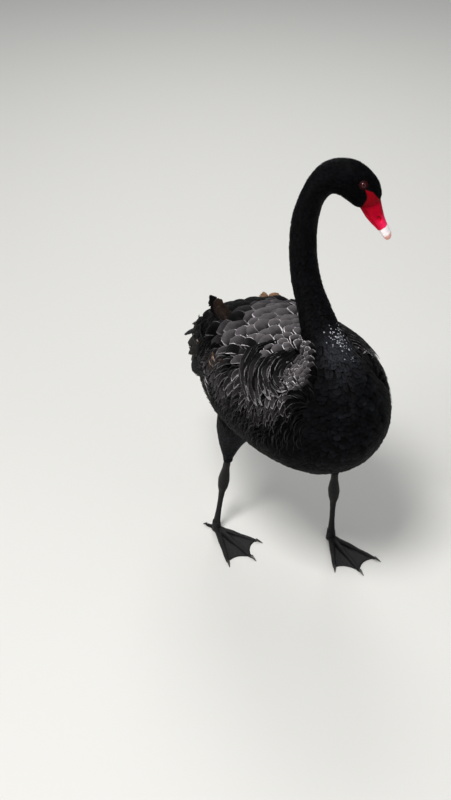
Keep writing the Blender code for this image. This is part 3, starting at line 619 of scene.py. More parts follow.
def laid_roots(s, turn, way, length, width, sink, middle_rise, tip_rise, kind, tone,
               skew=None):
    """Everything the tree needs for feathers that follow the form from root to tip."""
    start, up = form(s, turn), form_normal(s, turn)
    way = unit(way - up * (way * up).sum(-1, keepdims=True))
    mid_s, mid_t = glide(s, turn, way, length / 2, 2)
    # Where the neck bends sharply a step may run far off, and the feather stays short.
    lost = np.linalg.norm(form(mid_s, mid_t) - start, axis=-1) > 0.7 * length
    mid_s, mid_t = np.where(lost, s, mid_s), np.where(lost, turn, mid_t)
    mid_up = form_normal(mid_s, mid_t)
    middle = form(mid_s, mid_t) + mid_up * middle_rise[:, None]
    ahead = np.where(lost[:, None], way, unit(middle - start))
    ahead = unit(ahead - mid_up * (ahead * mid_up).sum(-1, keepdims=True))
    end_s, end_t = glide(mid_s, mid_t, ahead, length / 2, 2)
    end_up = form_normal(end_s, end_t)
    end = form(end_s, end_t)
    off = np.abs(np.linalg.norm(end - form(mid_s, mid_t), axis=-1) / length - 0.55) > 0.15
    end = np.where(off[:, None], form(mid_s, mid_t) + ahead * (length / 2)[:, None], end)
    end_up = np.where(off[:, None], mid_up, end_up)
    end = end + end_up * tip_rise[:, None]
    root = start - up * sink[:, None]
    across = unit(np.cross(unit(end - root), mid_up)) * (width / 2)[:, None]
    if skew is not None:
        middle = middle + unit(across) * skew[:, None]
    rise = np.cross(unit(across), unit(middle - root))
    tip_up = np.cross(unit(across), unit(end - middle))
    return {"root": root, "bend": 2 * middle - (root + end) / 2, "tip": end,
            "across": across, "rise": unit(rise), "tip_rise": unit(tip_up),
            "map_place": map_place(s, turn), "kind": kind, "tone": tone}


def ripple(points, seed):
    """Smooth variation between -1 and 1 over some 2 cm, for clumps in the plumage."""
    x, y, z = (points[..., i] for i in range(3))
    a = np.sin(170 * x + 2.1 * seed + 2 * np.sin(95 * z + seed))
    b = np.sin(150 * y - 1.3 * seed + 2 * np.sin(110 * x + 0.7 * seed))
    c = np.sin(130 * z + 0.9 * seed + 2 * np.sin(105 * y - seed))
    return (a + b + c) / 3


def take(roots, mask):
    """Some of the feathers."""
    return {key: np.asarray(value)[mask] for key, value in roots.items()}


def rearward(s, turn):
    """Lie of the plumage: from the bill over neck and body to the tail."""
    step = 0.03
    return unit(form(np.maximum(s - step, 0.0), turn) - form(np.minimum(s + step, LAST), turn))


def clear_of_eyes(points, margin):
    """Whether points are further than margin from both eyes."""
    clear = np.ones(len(points), bool)
    for side in (-1, 1):
        seat, _ = eye_seat(side)
        clear &= np.linalg.norm(points - seat, axis=-1) > margin
    return clear


# Sizes and colours that a user would change

class CoatSettings(bpy.types.PropertyGroup):
    """Body feathers."""
    seed: bpy.props.IntProperty(name="Seed", description="Seed of every random draw",
                                default=11, min=0)
    head_spacing: bpy.props.FloatProperty(
        name="Head spacing", description="Distance between roots on the head",
        default=0.0020, min=0.001, max=0.01, unit="LENGTH", precision=4)
    neck_spacing: bpy.props.FloatProperty(
        name="Neck spacing", description="Distance between roots on the neck",
        default=0.0033, min=0.001, max=0.02, unit="LENGTH", precision=4)
    body_spacing: bpy.props.FloatProperty(
        name="Body spacing", description="Distance between roots on breast and belly",
        default=0.0062, min=0.002, max=0.03, unit="LENGTH", precision=4)
    black: bpy.props.StringProperty(
        name="Black", description="Web colour of the body's feathers", default="#020203")
    charcoal: bpy.props.StringProperty(
        name="Charcoal", description="Web colour of the wing's vanes", default="#5a5658")
    rim: bpy.props.StringProperty(
        name="Rim", description="Web colour of the vanes' pale edges", default="#dcd6d8")
    worn: bpy.props.StringProperty(
        name="Worn", description="Web colour of worn brown vanes", default="#84644c")


class BillSettings(bpy.types.PropertyGroup):
    """Bill, lores and eyes."""
    length: bpy.props.FloatProperty(
        name="Bill length", description="From the culmen's feathers to the tip",
        default=0.068, min=0.03, max=0.1, unit="LENGTH", precision=4)
    eye_radius: bpy.props.FloatProperty(
        name="Eye radius", description="Radius of the eyeball", default=0.0066,
        min=0.003, max=0.015, unit="LENGTH", precision=4)
    eye_sunk: bpy.props.FloatProperty(
        name="Eye sunk", description="Depth of the eyeball's middle in the head",
        default=0.0044, min=0.0, max=0.01, unit="LENGTH", precision=4)
    crimson: bpy.props.StringProperty(
        name="Crimson", description="Web colour of the bill", default="#c00026")
    band: bpy.props.StringProperty(
        name="Band", description="Web colour of the pale band", default="#e9e0e0")
    nail: bpy.props.StringProperty(
        name="Nail", description="Web colour of the nail", default="#e9a79b")
    iris: bpy.props.StringProperty(
        name="Iris", description="Web colour of the iris", default="#4e1418")


class LegSettings(bpy.types.PropertyGroup):
    """Legs and feet."""
    skin: bpy.props.StringProperty(
        name="Leg skin", description="Web colour of the scaled skin", default="#0d0c0d")
    web_sag: bpy.props.FloatProperty(
        name="Web sag", description="How far the web hangs between the toes",
        default=0.0012, min=0.0, max=0.01, unit="LENGTH", precision=4)


class StageSettings(bpy.types.PropertyGroup):
    """Floor, lights and camera."""
    floor: bpy.props.StringProperty(
        name="Floor", description="Web colour of the floor", default="#cfcdc8")
    lens: bpy.props.FloatProperty(
        name="Lens", description="Focal length on a 36 mm frame", default=60.75,
        min=20, max=200, unit="CAMERA")


SETTINGS = (CoatSettings, BillSettings, LegSettings, StageSettings)


# Materials

def feather_material(name, base, other, rim, worn, roughness, specular):
    """Keratin vanes: matt and slightly silky, darker or paler from feather to feather.

    The value vane holds place across and along the feather and its edge; tone holds the
    feather's shade, which in places holds painted sheen on the body and painted shadow on the
    wing, the strength of its rim, which on the body is a painted glint, and how worn and brown
    it is. Each vane also darkens towards its root as painted shade."""
    made = bpy.data.materials.new(name)
    made.use_nodes = True
    tree = made.node_tree
    shader = tree.nodes["Principled BSDF"]
    vane = node(tree, "ShaderNodeSeparateXYZ", None, {
        "Vector": node(tree, "ShaderNodeAttribute", {"attribute_name": "vane"}).outputs["Vector"]})
    tone = node(tree, "ShaderNodeSeparateXYZ", None, {
        "Vector": node(tree, "ShaderNodeAttribute", {"attribute_name": "tone"}).outputs["Vector"]})
    place = node(tree, "ShaderNodeTexCoord").outputs["Object"]
    shade = node(tree, "ShaderNodeMix", {"data_type": "RGBA", 6: colour(base), 7: colour(other)},
                 {0: tone.outputs["X"]})
    mottle = node(tree, "ShaderNodeTexNoise", {"Scale": 90.0, "Detail": 4.0}, {"Vector": place})
    brown = node(tree, "ShaderNodeMath", {"operation": "MULTIPLY"},
                 {0: tone.outputs["Z"], 1: mottle.outputs["Fac"]})
    brown = node(tree, "ShaderNodeMath", {"operation": "MULTIPLY", 1: 1.7, "use_clamp": True},
                 {0: brown.outputs[0]})
    aged = node(tree, "ShaderNodeMix", {"data_type": "RGBA", 7: colour(worn)},
                {0: brown.outputs[0], 6: shade.outputs[2]})
    # Each vane darkens unevenly towards its root, down to near black: painted shade where it lies
    # under the feathers above it.
    uneven = node(tree, "ShaderNodeMath", {"operation": "MULTIPLY_ADD", 1: 0.5},
                  {0: mottle.outputs["Fac"], 2: vane.outputs["Y"]})
    depth = node(tree, "ShaderNodeMapRange", {"From Min": 0.68, "From Max": 1.20,
                                              "To Min": 0.15, "To Max": 1.0},
                 {"Value": uneven.outputs[0]})
    shaded = node(tree, "ShaderNodeMix", {"data_type": "RGBA", 6: colour("#030303")},
                  {0: depth.outputs[0], 7: aged.outputs[2]})
    near_tip = node(tree, "ShaderNodeMapRange", {"From Min": 0.20, "From Max": 0.55,
                                                 "interpolation_type": "SMOOTHSTEP"},
                    {"Value": vane.outputs["Y"]})
    on_edge = node(tree, "ShaderNodeMapRange", {"From Min": 0.0, "From Max": 0.42,
                                                "interpolation_type": "SMOOTHSTEP"},
                   {"Value": vane.outputs["Z"]})
    strength = node(tree, "ShaderNodeMath", {"operation": "MULTIPLY"},
                    {0: near_tip.outputs[0], 1: on_edge.outputs[0]})
    strength = node(tree, "ShaderNodeMath", {"operation": "MULTIPLY"},
                    {0: strength.outputs[0], 1: tone.outputs["Y"]})
    frayed = node(tree, "ShaderNodeTexNoise", {"Scale": 420.0, "Detail": 1.0},
                  {"Vector": place})
    frayed = node(tree, "ShaderNodeMapRange", {"From Min": 0.34, "From Max": 0.60,
                                               "To Min": 0.25, "To Max": 1.0},
                  {"Value": frayed.outputs["Fac"]})
    strength = node(tree, "ShaderNodeMath", {"operation": "MULTIPLY"},
                    {0: strength.outputs[0], 1: frayed.outputs[0]})
    rimmed = node(tree, "ShaderNodeMix", {"data_type": "RGBA", 7: colour(rim)},
                  {0: strength.outputs[0], 6: shaded.outputs[2]})
    tree.links.new(rimmed.outputs[2], shader.inputs["Base Color"])
    # Barbs run out from the shaft; real ones stand 0.5 mm apart, drawn here at 1 mm.
    slant = node(tree, "ShaderNodeMath", {"operation": "ABSOLUTE"}, {0: vane.outputs["X"]})
    slant = node(tree, "ShaderNodeMath", {"operation": "MULTIPLY_ADD", 1: -0.35},
                 {0: slant.outputs[0], 2: vane.outputs["Y"]})
    barbs = node(tree, "ShaderNodeMath", {"operation": "MULTIPLY", 1: 190.0},
                 {0: slant.outputs[0]})
    barbs = node(tree, "ShaderNodeMath", {"operation": "SINE"}, {0: barbs.outputs[0]})
    rough = node(tree, "ShaderNodeMath", {"operation": "MULTIPLY_ADD", 1: 0.6},
                 {0: mottle.outputs["Fac"], 2: barbs.outputs[0]})
    bump = node(tree, "ShaderNodeBump", {"Strength": 0.35, "Distance": 0.0004},
                {"Height": rough.outputs[0]})
    tree.links.new(bump.outputs[0], shader.inputs["Normal"])
    shader.inputs["Roughness"].default_value = roughness
    shader.inputs["Specular IOR Level"].default_value = specular
    shader.inputs["IOR"].default_value = 1.54
    return made


def body_feathers_material(coat):
    """Black body plumage: near black, darker or paler at random; its paler cool colour also gives
    painted sheen, and its pale rims painted glints.
    """
    return feather_material("body_feather_keratin", coat.black, "#2c2d33", "#e6e6ee", coat.worn,
                            0.50, 0.03)


def wing_feathers_material(coat):
    """Wing and back vanes: charcoal with pale worn edges; the near-black second colour gives black
    feathers and, in places, painted shadow.
    """
    return feather_material("wing_feather_keratin", coat.charcoal, "#030203", coat.rim,
                            coat.worn, 0.50, 0.02)


def skin_material(coat, bill):
    """Skin: black under the plumage, bare and crimson on the lores and round the eyes."""
    made = bpy.data.materials.new("bird_skin")
    made.use_nodes = True
    tree = made.node_tree
    shader = tree.nodes["Principled BSDF"]
    place = node(tree, "ShaderNodeTexCoord").outputs["Object"]
    bare = node(tree, "ShaderNodeAttribute", {"attribute_name": "bare"}).outputs["Fac"]
    fine = node(tree, "ShaderNodeTexNoise", {"Scale": 700.0, "Detail": 3.0}, {"Vector": place})
    red = node(tree, "ShaderNodeMix", {"data_type": "RGBA", 6: colour("#70000c"),
                                       7: colour("#880012")}, {0: fine.outputs["Fac"]})
    skin = node(tree, "ShaderNodeMix", {"data_type": "RGBA", 6: colour("#070708")},
                {0: bare, 7: red.outputs[2]})
    tree.links.new(skin.outputs[2], shader.inputs["Base Color"])
    shader.inputs["Specular IOR Level"].default_value = 0.05
    bump = node(tree, "ShaderNodeBump", {"Strength": 0.4, "Distance": 0.0003},
                {"Height": fine.outputs["Fac"]})
    tree.links.new(bump.outputs[0], shader.inputs["Normal"])
    shader.inputs["Roughness"].default_value = 0.5
    return made


def bill_material(bill):
    """Bill horn, waxy and smooth: crimson with a painted rosy highlight along its top, a
    near-white band, then a flesh-pink nail.
    """
    made = bpy.data.materials.new("bill_horn")
    made.use_nodes = True
    tree = made.node_tree
    shader = tree.nodes["Principled BSDF"]
    place = node(tree, "ShaderNodeTexCoord").outputs["Object"]
    along = node(tree, "ShaderNodeAttribute", {"attribute_name": "along"}).outputs["Fac"]
    up = node(tree, "ShaderNodeAttribute", {"attribute_name": "crest"}).outputs["Fac"]
    wobble = node(tree, "ShaderNodeTexNoise", {"Scale": 160.0, "Detail": 2.0},
                  {"Vector": place})
    shifted = node(tree, "ShaderNodeMath", {"operation": "MULTIPLY_ADD", 1: 0.035},
                   {0: wobble.outputs["Fac"], 2: along})
    streak = node(tree, "ShaderNodeTexNoise", {"Scale": 60.0, "Detail": 3.0}, {"Vector": place})
    fresh = node(tree, "ShaderNodeMapRange", {"From Max": 0.42, "To Min": 0.25, "To Max": 1.7},
                 {"Value": shifted.outputs[0]})
    fresh = node(tree, "ShaderNodeMath", {"operation": "MULTIPLY"},
                 {0: fresh.outputs[0], 1: streak.outputs["Fac"]})
    reds = node(tree, "ShaderNodeMix", {"data_type": "RGBA", 6: colour("#740010"),
                                        7: colour(bill.crimson)}, {0: fresh.outputs[0]})
    # Painted highlight: rosy pink on the bill's top from the nostril to the band, strongest along
    # the culmen.
    painted_rosy_highlight = node(tree, "ShaderNodeMapRange", {"From Min": 0.30, "From Max": 0.62,
                                             "To Max": 0.80,
                                             "interpolation_type": "SMOOTHSTEP"},
                {"Value": shifted.outputs[0]})
    painted_rosy_highlight = node(tree, "ShaderNodeMath", {"operation": "MULTIPLY"}, {0: painted_rosy_highlight.outputs[0], 1: up})
    reds = node(tree, "ShaderNodeMix", {"data_type": "RGBA", 7: colour("#ff2f68")},
                {0: painted_rosy_highlight.outputs[0], 6: reds.outputs[2]})
    in_band = node(tree, "ShaderNodeMapRange", {"From Min": 0.660, "From Max": 0.685,
                                                "interpolation_type": "SMOOTHSTEP"},
                   {"Value": shifted.outputs[0]})
    banded = node(tree, "ShaderNodeMix", {"data_type": "RGBA", 7: colour(bill.band)},
                  {0: in_band.outputs[0], 6: reds.outputs[2]})
    in_nail = node(tree, "ShaderNodeMapRange", {"From Min": 0.84, "From Max": 0.93,
                                                "interpolation_type": "SMOOTHSTEP"},
                   {"Value": shifted.outputs[0]})
    nailed = node(tree, "ShaderNodeMix", {"data_type": "RGBA", 7: colour(bill.nail)},
                  {0: in_nail.outputs[0], 6: banded.outputs[2]})
    tree.links.new(nailed.outputs[2], shader.inputs["Base Color"])
    grain = node(tree, "ShaderNodeTexNoise", {"Scale": 900.0, "Detail": 2.0},
                 {"Vector": place})
    bump = node(tree, "ShaderNodeBump", {"Strength": 0.15, "Distance": 0.0002},
                {"Height": grain.outputs["Fac"]})
    tree.links.new(bump.outputs[0], shader.inputs["Normal"])
    shader.inputs["Roughness"].default_value = 0.36
    shader.inputs["Specular IOR Level"].default_value = 0.05
    shader.inputs["Subsurface Weight"].default_value = 0.12
    shader.inputs["Subsurface Scale"].default_value = 0.002
    return made


def eye_material(bill):
    """Wet eye: black pupil, dull red iris that darkens at its rim, clear glossy cornea."""
    made = bpy.data.materials.new("wet_eye")
    made.use_nodes = True
    tree = made.node_tree
    shader = tree.nodes["Principled BSDF"]
    ring = node(tree, "ShaderNodeAttribute", {"attribute_name": "ring"}).outputs["Fac"]
    place = node(tree, "ShaderNodeTexCoord").outputs["Object"]
    fleck = node(tree, "ShaderNodeTexNoise", {"Scale": 1500.0}, {"Vector": place})
    iris = node(tree, "ShaderNodeMix", {"data_type": "RGBA", 6: colour("#2a0a0c"),
                                        7: colour(bill.iris)}, {0: fleck.outputs["Fac"]})
    pupil = node(tree, "ShaderNodeMapRange", {"From Min": 0.30, "From Max": 0.36}, {"Value": ring})
    inner = node(tree, "ShaderNodeMix", {"data_type": "RGBA", 6: colour("#050404")},
                 {0: pupil.outputs[0], 7: iris.outputs[2]})
    rim = node(tree, "ShaderNodeMapRange", {"From Min": 0.66, "From Max": 0.80}, {"Value": ring})
    outer = node(tree, "ShaderNodeMix", {"data_type": "RGBA", 7: colour("#0c0606")},
                 {0: rim.outputs[0], 6: inner.outputs[2]})
    tree.links.new(outer.outputs[2], shader.inputs["Base Color"])
    shader.inputs["Roughness"].default_value = 0.06
    shader.inputs["IOR"].default_value = 1.376
    shader.inputs["Specular IOR Level"].default_value = 0.3
    shader.inputs["Coat Weight"].default_value = 0.12
    shader.inputs["Coat Roughness"].default_value = 0.02
    return made


def leg_material(legs):
    """Scaled leg skin: small plates with dark dull seams, slightly greasy."""
    made = bpy.data.materials.new("scaled_leg_skin")
    made.use_nodes = True
    tree = made.node_tree
    shader = tree.nodes["Principled BSDF"]
    place = node(tree, "ShaderNodeTexCoord").outputs["Object"]
    scales = node(tree, "ShaderNodeTexVoronoi", {"feature": "DISTANCE_TO_EDGE", "Scale": 420.0},
                  {"Vector": place})
    seam = node(tree, "ShaderNodeMapRange", {"From Min": 0.0, "From Max": 0.12},
                {"Value": scales.outputs["Distance"]})
    cloud = node(tree, "ShaderNodeTexNoise", {"Scale": 45.0, "Detail": 3.0}, {"Vector": place})
    plates = node(tree, "ShaderNodeMix", {"data_type": "RGBA", 6: colour(legs.skin),
                                          7: colour("#1c1918")}, {0: cloud.outputs["Fac"]})
    seamed = node(tree, "ShaderNodeMix", {"data_type": "RGBA", 6: colour("#0d0c0c")},
                  {0: seam.outputs[0], 7: plates.outputs[2]})
    tree.links.new(seamed.outputs[2], shader.inputs["Base Color"])
    bump = node(tree, "ShaderNodeBump", {"Strength": 0.6, "Distance": 0.0004},
                {"Height": seam.outputs[0]})
    tree.links.new(bump.outputs[0], shader.inputs["Normal"])
    shader.inputs["Roughness"].default_value = 0.48
    shader.inputs["Specular IOR Level"].default_value = 0.2
    return made


def claw_material():
    """Claw horn: dark, close-grained and a little glossy."""
    made = bpy.data.materials.new("claw_horn")
    made.use_nodes = True
    tree = made.node_tree
    shader = tree.nodes["Principled BSDF"]
    place = node(tree, "ShaderNodeTexCoord").outputs["Object"]
    grain = node(tree, "ShaderNodeTexNoise", {"Scale": 300.0, "Detail": 3.0}, {"Vector": place})
    horn = node(tree, "ShaderNodeMix", {"data_type": "RGBA", 6: colour("#121111"),
                                        7: colour("#3a3532")}, {0: grain.outputs["Fac"]})
    tree.links.new(horn.outputs[2], shader.inputs["Base Color"])
    shader.inputs["Roughness"].default_value = 0.3
    return made


# Skin

def thigh_rings(side, depth, count=26, around=40):
    """Rings of a feathered thigh, depth inside its solid."""
    knots = np.array(LEGS[side]["thigh"][::-1], float)
    heights = np.linspace(knots[0, 2], knots[-1, 2], count)
    rows = np.stack([np.interp(heights, knots[:, 2], knots[:, i]) for i in range(4)], -1)
    turns = np.linspace(0, 2 * math.pi, around, endpoint=False)
    rings = []
    for forward, left_by, height, radius in rows:
        inner = max(radius - depth, 0.004)
        centre = np.array([left_by, -forward, height]) + STAND
        rings.append([centre + np.array([inner * math.cos(a), inner * 1.12 * math.sin(a), 0])
                      for a in turns])
    return np.array(rings)


def skin_stations():
    """Stations of the skin's rings, close on the head and wider on the body."""
    fine = np.linspace(0, LAST, 4000)
    centre = station(fine)[:, :3]
    step = np.linalg.norm(np.diff(centre, axis=0), axis=-1)
    spacing = np.interp(fine[:-1], (0, 8, 10, 14.5, 15.5, LAST),
                        (0.0045, 0.0035, 0.0030, 0.0022, 0.0009, 0.0007))
    count = np.concatenate([[0], np.cumsum(step / spacing)])
    return np.interp(np.arange(0, count[-1]), count, fine)


class SWAN_OT_skin(bpy.types.Operator):
    """One skin over head, neck, torso and thighs, bare and red on the lores"""
    bl_idname = "swan.skin"
    bl_label = "Skin"

    def execute(self, context):
        coat, bill = context.scene.swan_coat, context.scene.swan_bill
        s = np.append(skin_stations(), LAST)
        turns = np.linspace(0, 2 * math.pi, 144, endpoint=False)
        grid_s, grid_t = np.meshgrid(s, turns, indexing="ij")
        outer, normal = form(grid_s, grid_t), form_normal(grid_s, grid_t)
        bare = lore(outer)
        points = outer - normal * coat_depth(grid_s, grid_t)[..., None]
        for side in (-1, 1):
            seat, out = eye_seat(side)
            away = np.linalg.norm(outer - seat, axis=-1)
            points -= out * (0.0036 * smooth((0.0062 - away) / 0.0020))[..., None]
            bare = np.maximum(bare, 0.12 * smooth((0.0072 - away) / 0.0012))
        skin = loft("skin", points, {"bare": bare})
        thighs = [loft("thigh", thigh_rings(side, 0.0035)) for side in ("left", "right")]
        for thigh in thighs:
            cut = skin.modifiers.new("join", "BOOLEAN")
            cut.operation, cut.solver, cut.object = "UNION", "MANIFOLD", thigh
        as_mesh(skin)
        for thigh in thighs:
            bpy.data.objects.remove(thigh, do_unlink=True)
        place_on_map(skin)
        skin.data.materials.clear()
        skin.data.materials.append(skin_material(coat, bill))
        skin.data.shade_smooth()
        finish_piece(skin, "body_feathers", "torso", "neck_lower", "neck_middle",
                     "neck_upper", "head", "thigh_left", "thigh_right")
        return {"FINISHED"}


def place_on_map(thing):
    """Unwrap a skin mesh by nearest station and turn, for baking."""
    s = np.linspace(0, LAST, 500)
    turns = np.radians(np.arange(-180, 180, 3.0))
    grid_s, grid_t = np.meshgrid(s, turns, indexing="ij")
    known = form(grid_s, grid_t).reshape(-1, 3)
    tree = kdtree.KDTree(len(known))
    for i, p in enumerate(known):
        tree.insert(p, i)
    tree.balance()
    mesh = thing.data
    points = np.array([v.co for v in mesh.vertices])
    nearest = np.array([tree.find(p)[1] for p in points])
    place = map_place(grid_s.reshape(-1)[nearest], grid_t.reshape(-1)[nearest])[:, :2]
    layer = mesh.uv_layers.new(name="OFBake")
    corners = np.zeros(len(mesh.loops), int)
    mesh.loops.foreach_get("vertex_index", corners)
    layer.data.foreach_set("uv", place[corners].astype(np.float32).reshape(-1))


# Plumage

def small_forms():
    """Forms of the body's feathers: rounded, ragged and pointed."""
    group = bpy.data.collections.new("small feather forms")
    rows = (0.0, 0.45, 0.78, 0.94, 1.0)
    outlines = (
        ((0.0, 0.45, 0.78, 0.94, 1.0), (0.45, 0.95, 0.95, 0.62, 0.25)),
        ((0.0, 0.45, 0.78, 0.94, 1.0), (0.40, 0.90, 1.00, 0.78, 0.42)),
        ((0.0, 0.45, 0.78, 0.94, 1.0), (0.50, 0.90, 0.70, 0.36, 0.10)),
    )
    forms = []
    for i, outline in enumerate(outlines):
        forms.append(feather_form("small_%d" % i, rows, (-1, 0, 1), outline, 0.12, 0.0))
    return stored(group, forms)


def stored(group, forms):
    """Keep feather forms in a collection of their own, out of the scene."""
    for made in forms:
        group.objects.link(made)
        bpy.context.scene.collection.objects.unlink(made)
    return group


def vane_forms():
    """Forms of the wing's feathers: three broad ones, three small ones, three locks."""
    group = bpy.data.collections.new("vane forms")
    rows = (0.0, 0.28, 0.48, 0.64, 0.76, 0.85, 0.90, 0.94, 0.97, 1.0)
    broad = ((0.50, 0.84, 0.98, 1.00, 0.95, 0.84, 0.70, 0.56, 0.42, 0.24),
             (0.50, 0.86, 1.00, 1.00, 0.92, 0.79, 0.62, 0.47, 0.33, 0.16),
             (0.50, 0.82, 0.96, 1.00, 0.98, 0.90, 0.78, 0.66, 0.54, 0.38))
    small_rows = (0.0, 0.35, 0.58, 0.74, 0.86, 0.93, 1.0)
    small = ((0.50, 0.90, 1.00, 0.98, 0.88, 0.70, 0.36),
             (0.50, 0.88, 1.00, 0.95, 0.80, 0.60, 0.28),
             (0.50, 0.88, 0.98, 1.00, 0.94, 0.80, 0.48))
    lock_rows = (0.0, 0.3, 0.55, 0.78, 1.0)
    locks = ((0.60, 0.95, 1.00, 0.70, 0.12), (0.50, 1.00, 0.90, 0.55, 0.10),
             (0.70, 0.90, 1.00, 0.85, 0.20))
    forms = []
    for i, wide in enumerate(broad):
        columns = (-1, -0.86, -0.5, 0, 0.5, 0.86, 1)
        forms.append(feather_form("vane_%d" % i, rows, columns, (rows, wide), 0.22, 0.0, 0.05))
    for i, wide in enumerate(small):
        columns = (-1, -0.74, 0, 0.74, 1)
        forms.append(feather_form("vane_%d" % (i + 3), small_rows, columns,
                                  (small_rows, wide), 0.24, 0.0, 0.03))
    for i, wide in enumerate(locks):
        forms.append(feather_form("vane_%d" % (i + 6), lock_rows, (-1, -0.5, 0.5, 1),
                                  (lock_rows, wide), 0.35, 0.0))
    return stored(group, forms)


def long_forms():
    """Forms of tertials, primaries and tail feathers, with vanes that split at the edge."""
    group = bpy.data.collections.new("long vane forms")
    columns = (-1, -0.93, -0.62, -0.3, -0.05, 0, 0.05, 0.3, 0.62, 0.93, 1)
    rows = tuple(np.concatenate([np.linspace(0, 0.5, 7)[:-1], np.linspace(0.5, 1, 20)]))
    knots = (0.0, 0.15, 0.3, 0.45, 0.6, 0.72, 0.82, 0.90, 0.96, 1.0)
    outlines = (
        (knots, (0.35, 0.62, 0.80, 0.93, 1.00, 0.98, 0.84, 0.62, 0.36, 0.06)),
        (knots, (0.35, 0.60, 0.78, 0.92, 1.00, 0.92, 0.72, 0.50, 0.28, 0.04)),
        (knots, (0.40, 0.66, 0.84, 0.95, 1.00, 0.98, 0.93, 0.84, 0.64, 0.30)),
    )
    ragged = (0.20, 0.30, 0.10)
    forms = [feather_form("long_%d" % i, rows, columns, outline, 0.16, 0.02, ragged[i])
             for i, outline in enumerate(outlines)]
    return stored(group, forms)


def coat_roots(chosen, spacing, length, width, seed, droop=0.0, ruffle=0.0008, tip=0.0004):
    """Roots of a dense coat of small feathers."""
    chance = np.random.default_rng(seed)
    s, turn = scatter(chosen, spacing, seed)
    count = len(s)
    gap = spacing(s, turn)
    points = form(s, turn)
    way = rearward(s, turn) + np.array([0, 0, -1.0]) * droop
    way = way + chance.normal(0, 0.10, (count, 3))
    way = way + 0.22 * np.stack([ripple(points * 0.9, k) for k in (1, 2, 3)], -1)
    depth = coat_depth(s, turn)
    # Painted sheen at the front of the neck's root: the feathers turn paler and cool, with faint
    # pale rims as painted glints.
    painted_sheen = smooth(1 - np.abs(s - 8.9) / 0.9) * smooth((degrees_down(turn) - 115) / 45)
    shade = chance.uniform(0, 0.1, count) + 0.6 * painted_sheen * chance.uniform(0.4, 1, count)
    # Painted highlights: paler mottles over the front of the breast.
    front = smooth((degrees_down(turn) - 122) / 25) * smooth((8.5 - s) / 0.5) * smooth(s - 5.6)
    shade = shade + 0.45 * front * np.clip(ripple(points * 1.4, 5), 0, 1) * chance.random(count)
    tone = np.stack([shade, 0.02 * painted_sheen, np.zeros(count)], -1)
    tip = tip + ruffle * np.clip(ripple(points, 4), 0, 1)
    grown = chance.uniform(0.85, 1.15, count)
    return laid_roots(s, turn, way, gap * length * grown, gap * width * grown,
                      depth, -0.35 * depth, tip + chance.uniform(0, ruffle, count),
                      chance.integers(0, 3, count), tone,
                      chance.normal(0, 0.06, count) * gap * length)


class SWAN_OT_body_feathers(bpy.types.Operator):
    """Small black feathers over head, neck, breast, belly, rump and thighs"""
    bl_idname = "swan.body_feathers"
    bl_label = "Body feathers"

    def execute(self, context):
        coat = context.scene.swan_coat
        tree, forms = feather_tree(), small_forms()
        material = body_feathers_material(coat)

        def spacing(s, t):
            base = np.interp(s, (0, 8, 9.5, 14, 15.5, 17.5, 19),
                             (coat.body_spacing, coat.body_spacing, coat.neck_spacing * 1.2,
                              coat.neck_spacing * 0.85, coat.head_spacing * 1.15,
                              coat.head_spacing, coat.head_spacing * 0.75))
            return base

        areas = {
            "head_feathers": (lambda s, t: s >= HEAD_START, 3.6, 1.6, 0.0, 0.0002),
            "neck_feathers": (lambda s, t: (s < HEAD_START) & (s >= NECK_START), 4.4, 2.1, 0.0,
                              0.0005),
            "breast_feathers": (lambda s, t: (s < NECK_START) & (s >= 5.6) & ~mantle(s, t),
                                4.0, 2.2, 0.25, 0.0012),
            "belly_feathers": (lambda s, t: (s < 5.6) & ~mantle(s, t), 4.4, 1.9, 0.15, 0.0012),
        }
        for index, (name, area) in enumerate(areas.items()):
            chosen, length, width, droop, ruffle = area
            roots = coat_roots(chosen, spacing, length, width, coat.seed + index, droop, ruffle,
                               0.0003)
            if name == "head_feathers":
                outer = roots["root"]
                free = (lore(outer) < 0.2) & (lore(roots["tip"]) < 0.9)
                roots = take(roots, free & clear_of_eyes(outer, 0.0064))
            piece = lay(name, tree, forms, material, roots)
            finish_piece(piece, "body_feathers")
        # Painted glints: pale-tipped specks over the front of the neck's root.
        finish_piece(lay("pale_specks", tree, forms, material, glint_speck_roots(coat.seed + 9)),
                     "body_feathers")
        for side in ("left", "right"):
            piece = lay("thigh_feathers_" + side, tree, forms, material,
                        thigh_roots(side, coat.seed))
            finish_piece(piece, "body_feathers")
        return {"FINISHED"}


def glint_speck_roots(seed):
    """Tiny feathers with pale tips, strewn over the front of the neck's root: painted glints."""
    chance = np.random.default_rng(seed)
    count = 90
    s = chance.normal(9.0, 0.20, count)
    turn = np.radians(chance.normal(170, 15, count))
    size = chance.uniform(0.0011, 0.0024, count)
    way = rearward(s, turn) + chance.normal(0, 0.3, (count, 3))
    tone = np.stack([np.ones(count), chance.uniform(0.5, 1, count), np.zeros(count)], -1)
    return laid_roots(s, turn, way, size * 1.6, size, np.full(count, -0.0004),
                      np.full(count, 0.0009), np.full(count, 0.0008),
                      chance.integers(0, 3, count), tone)


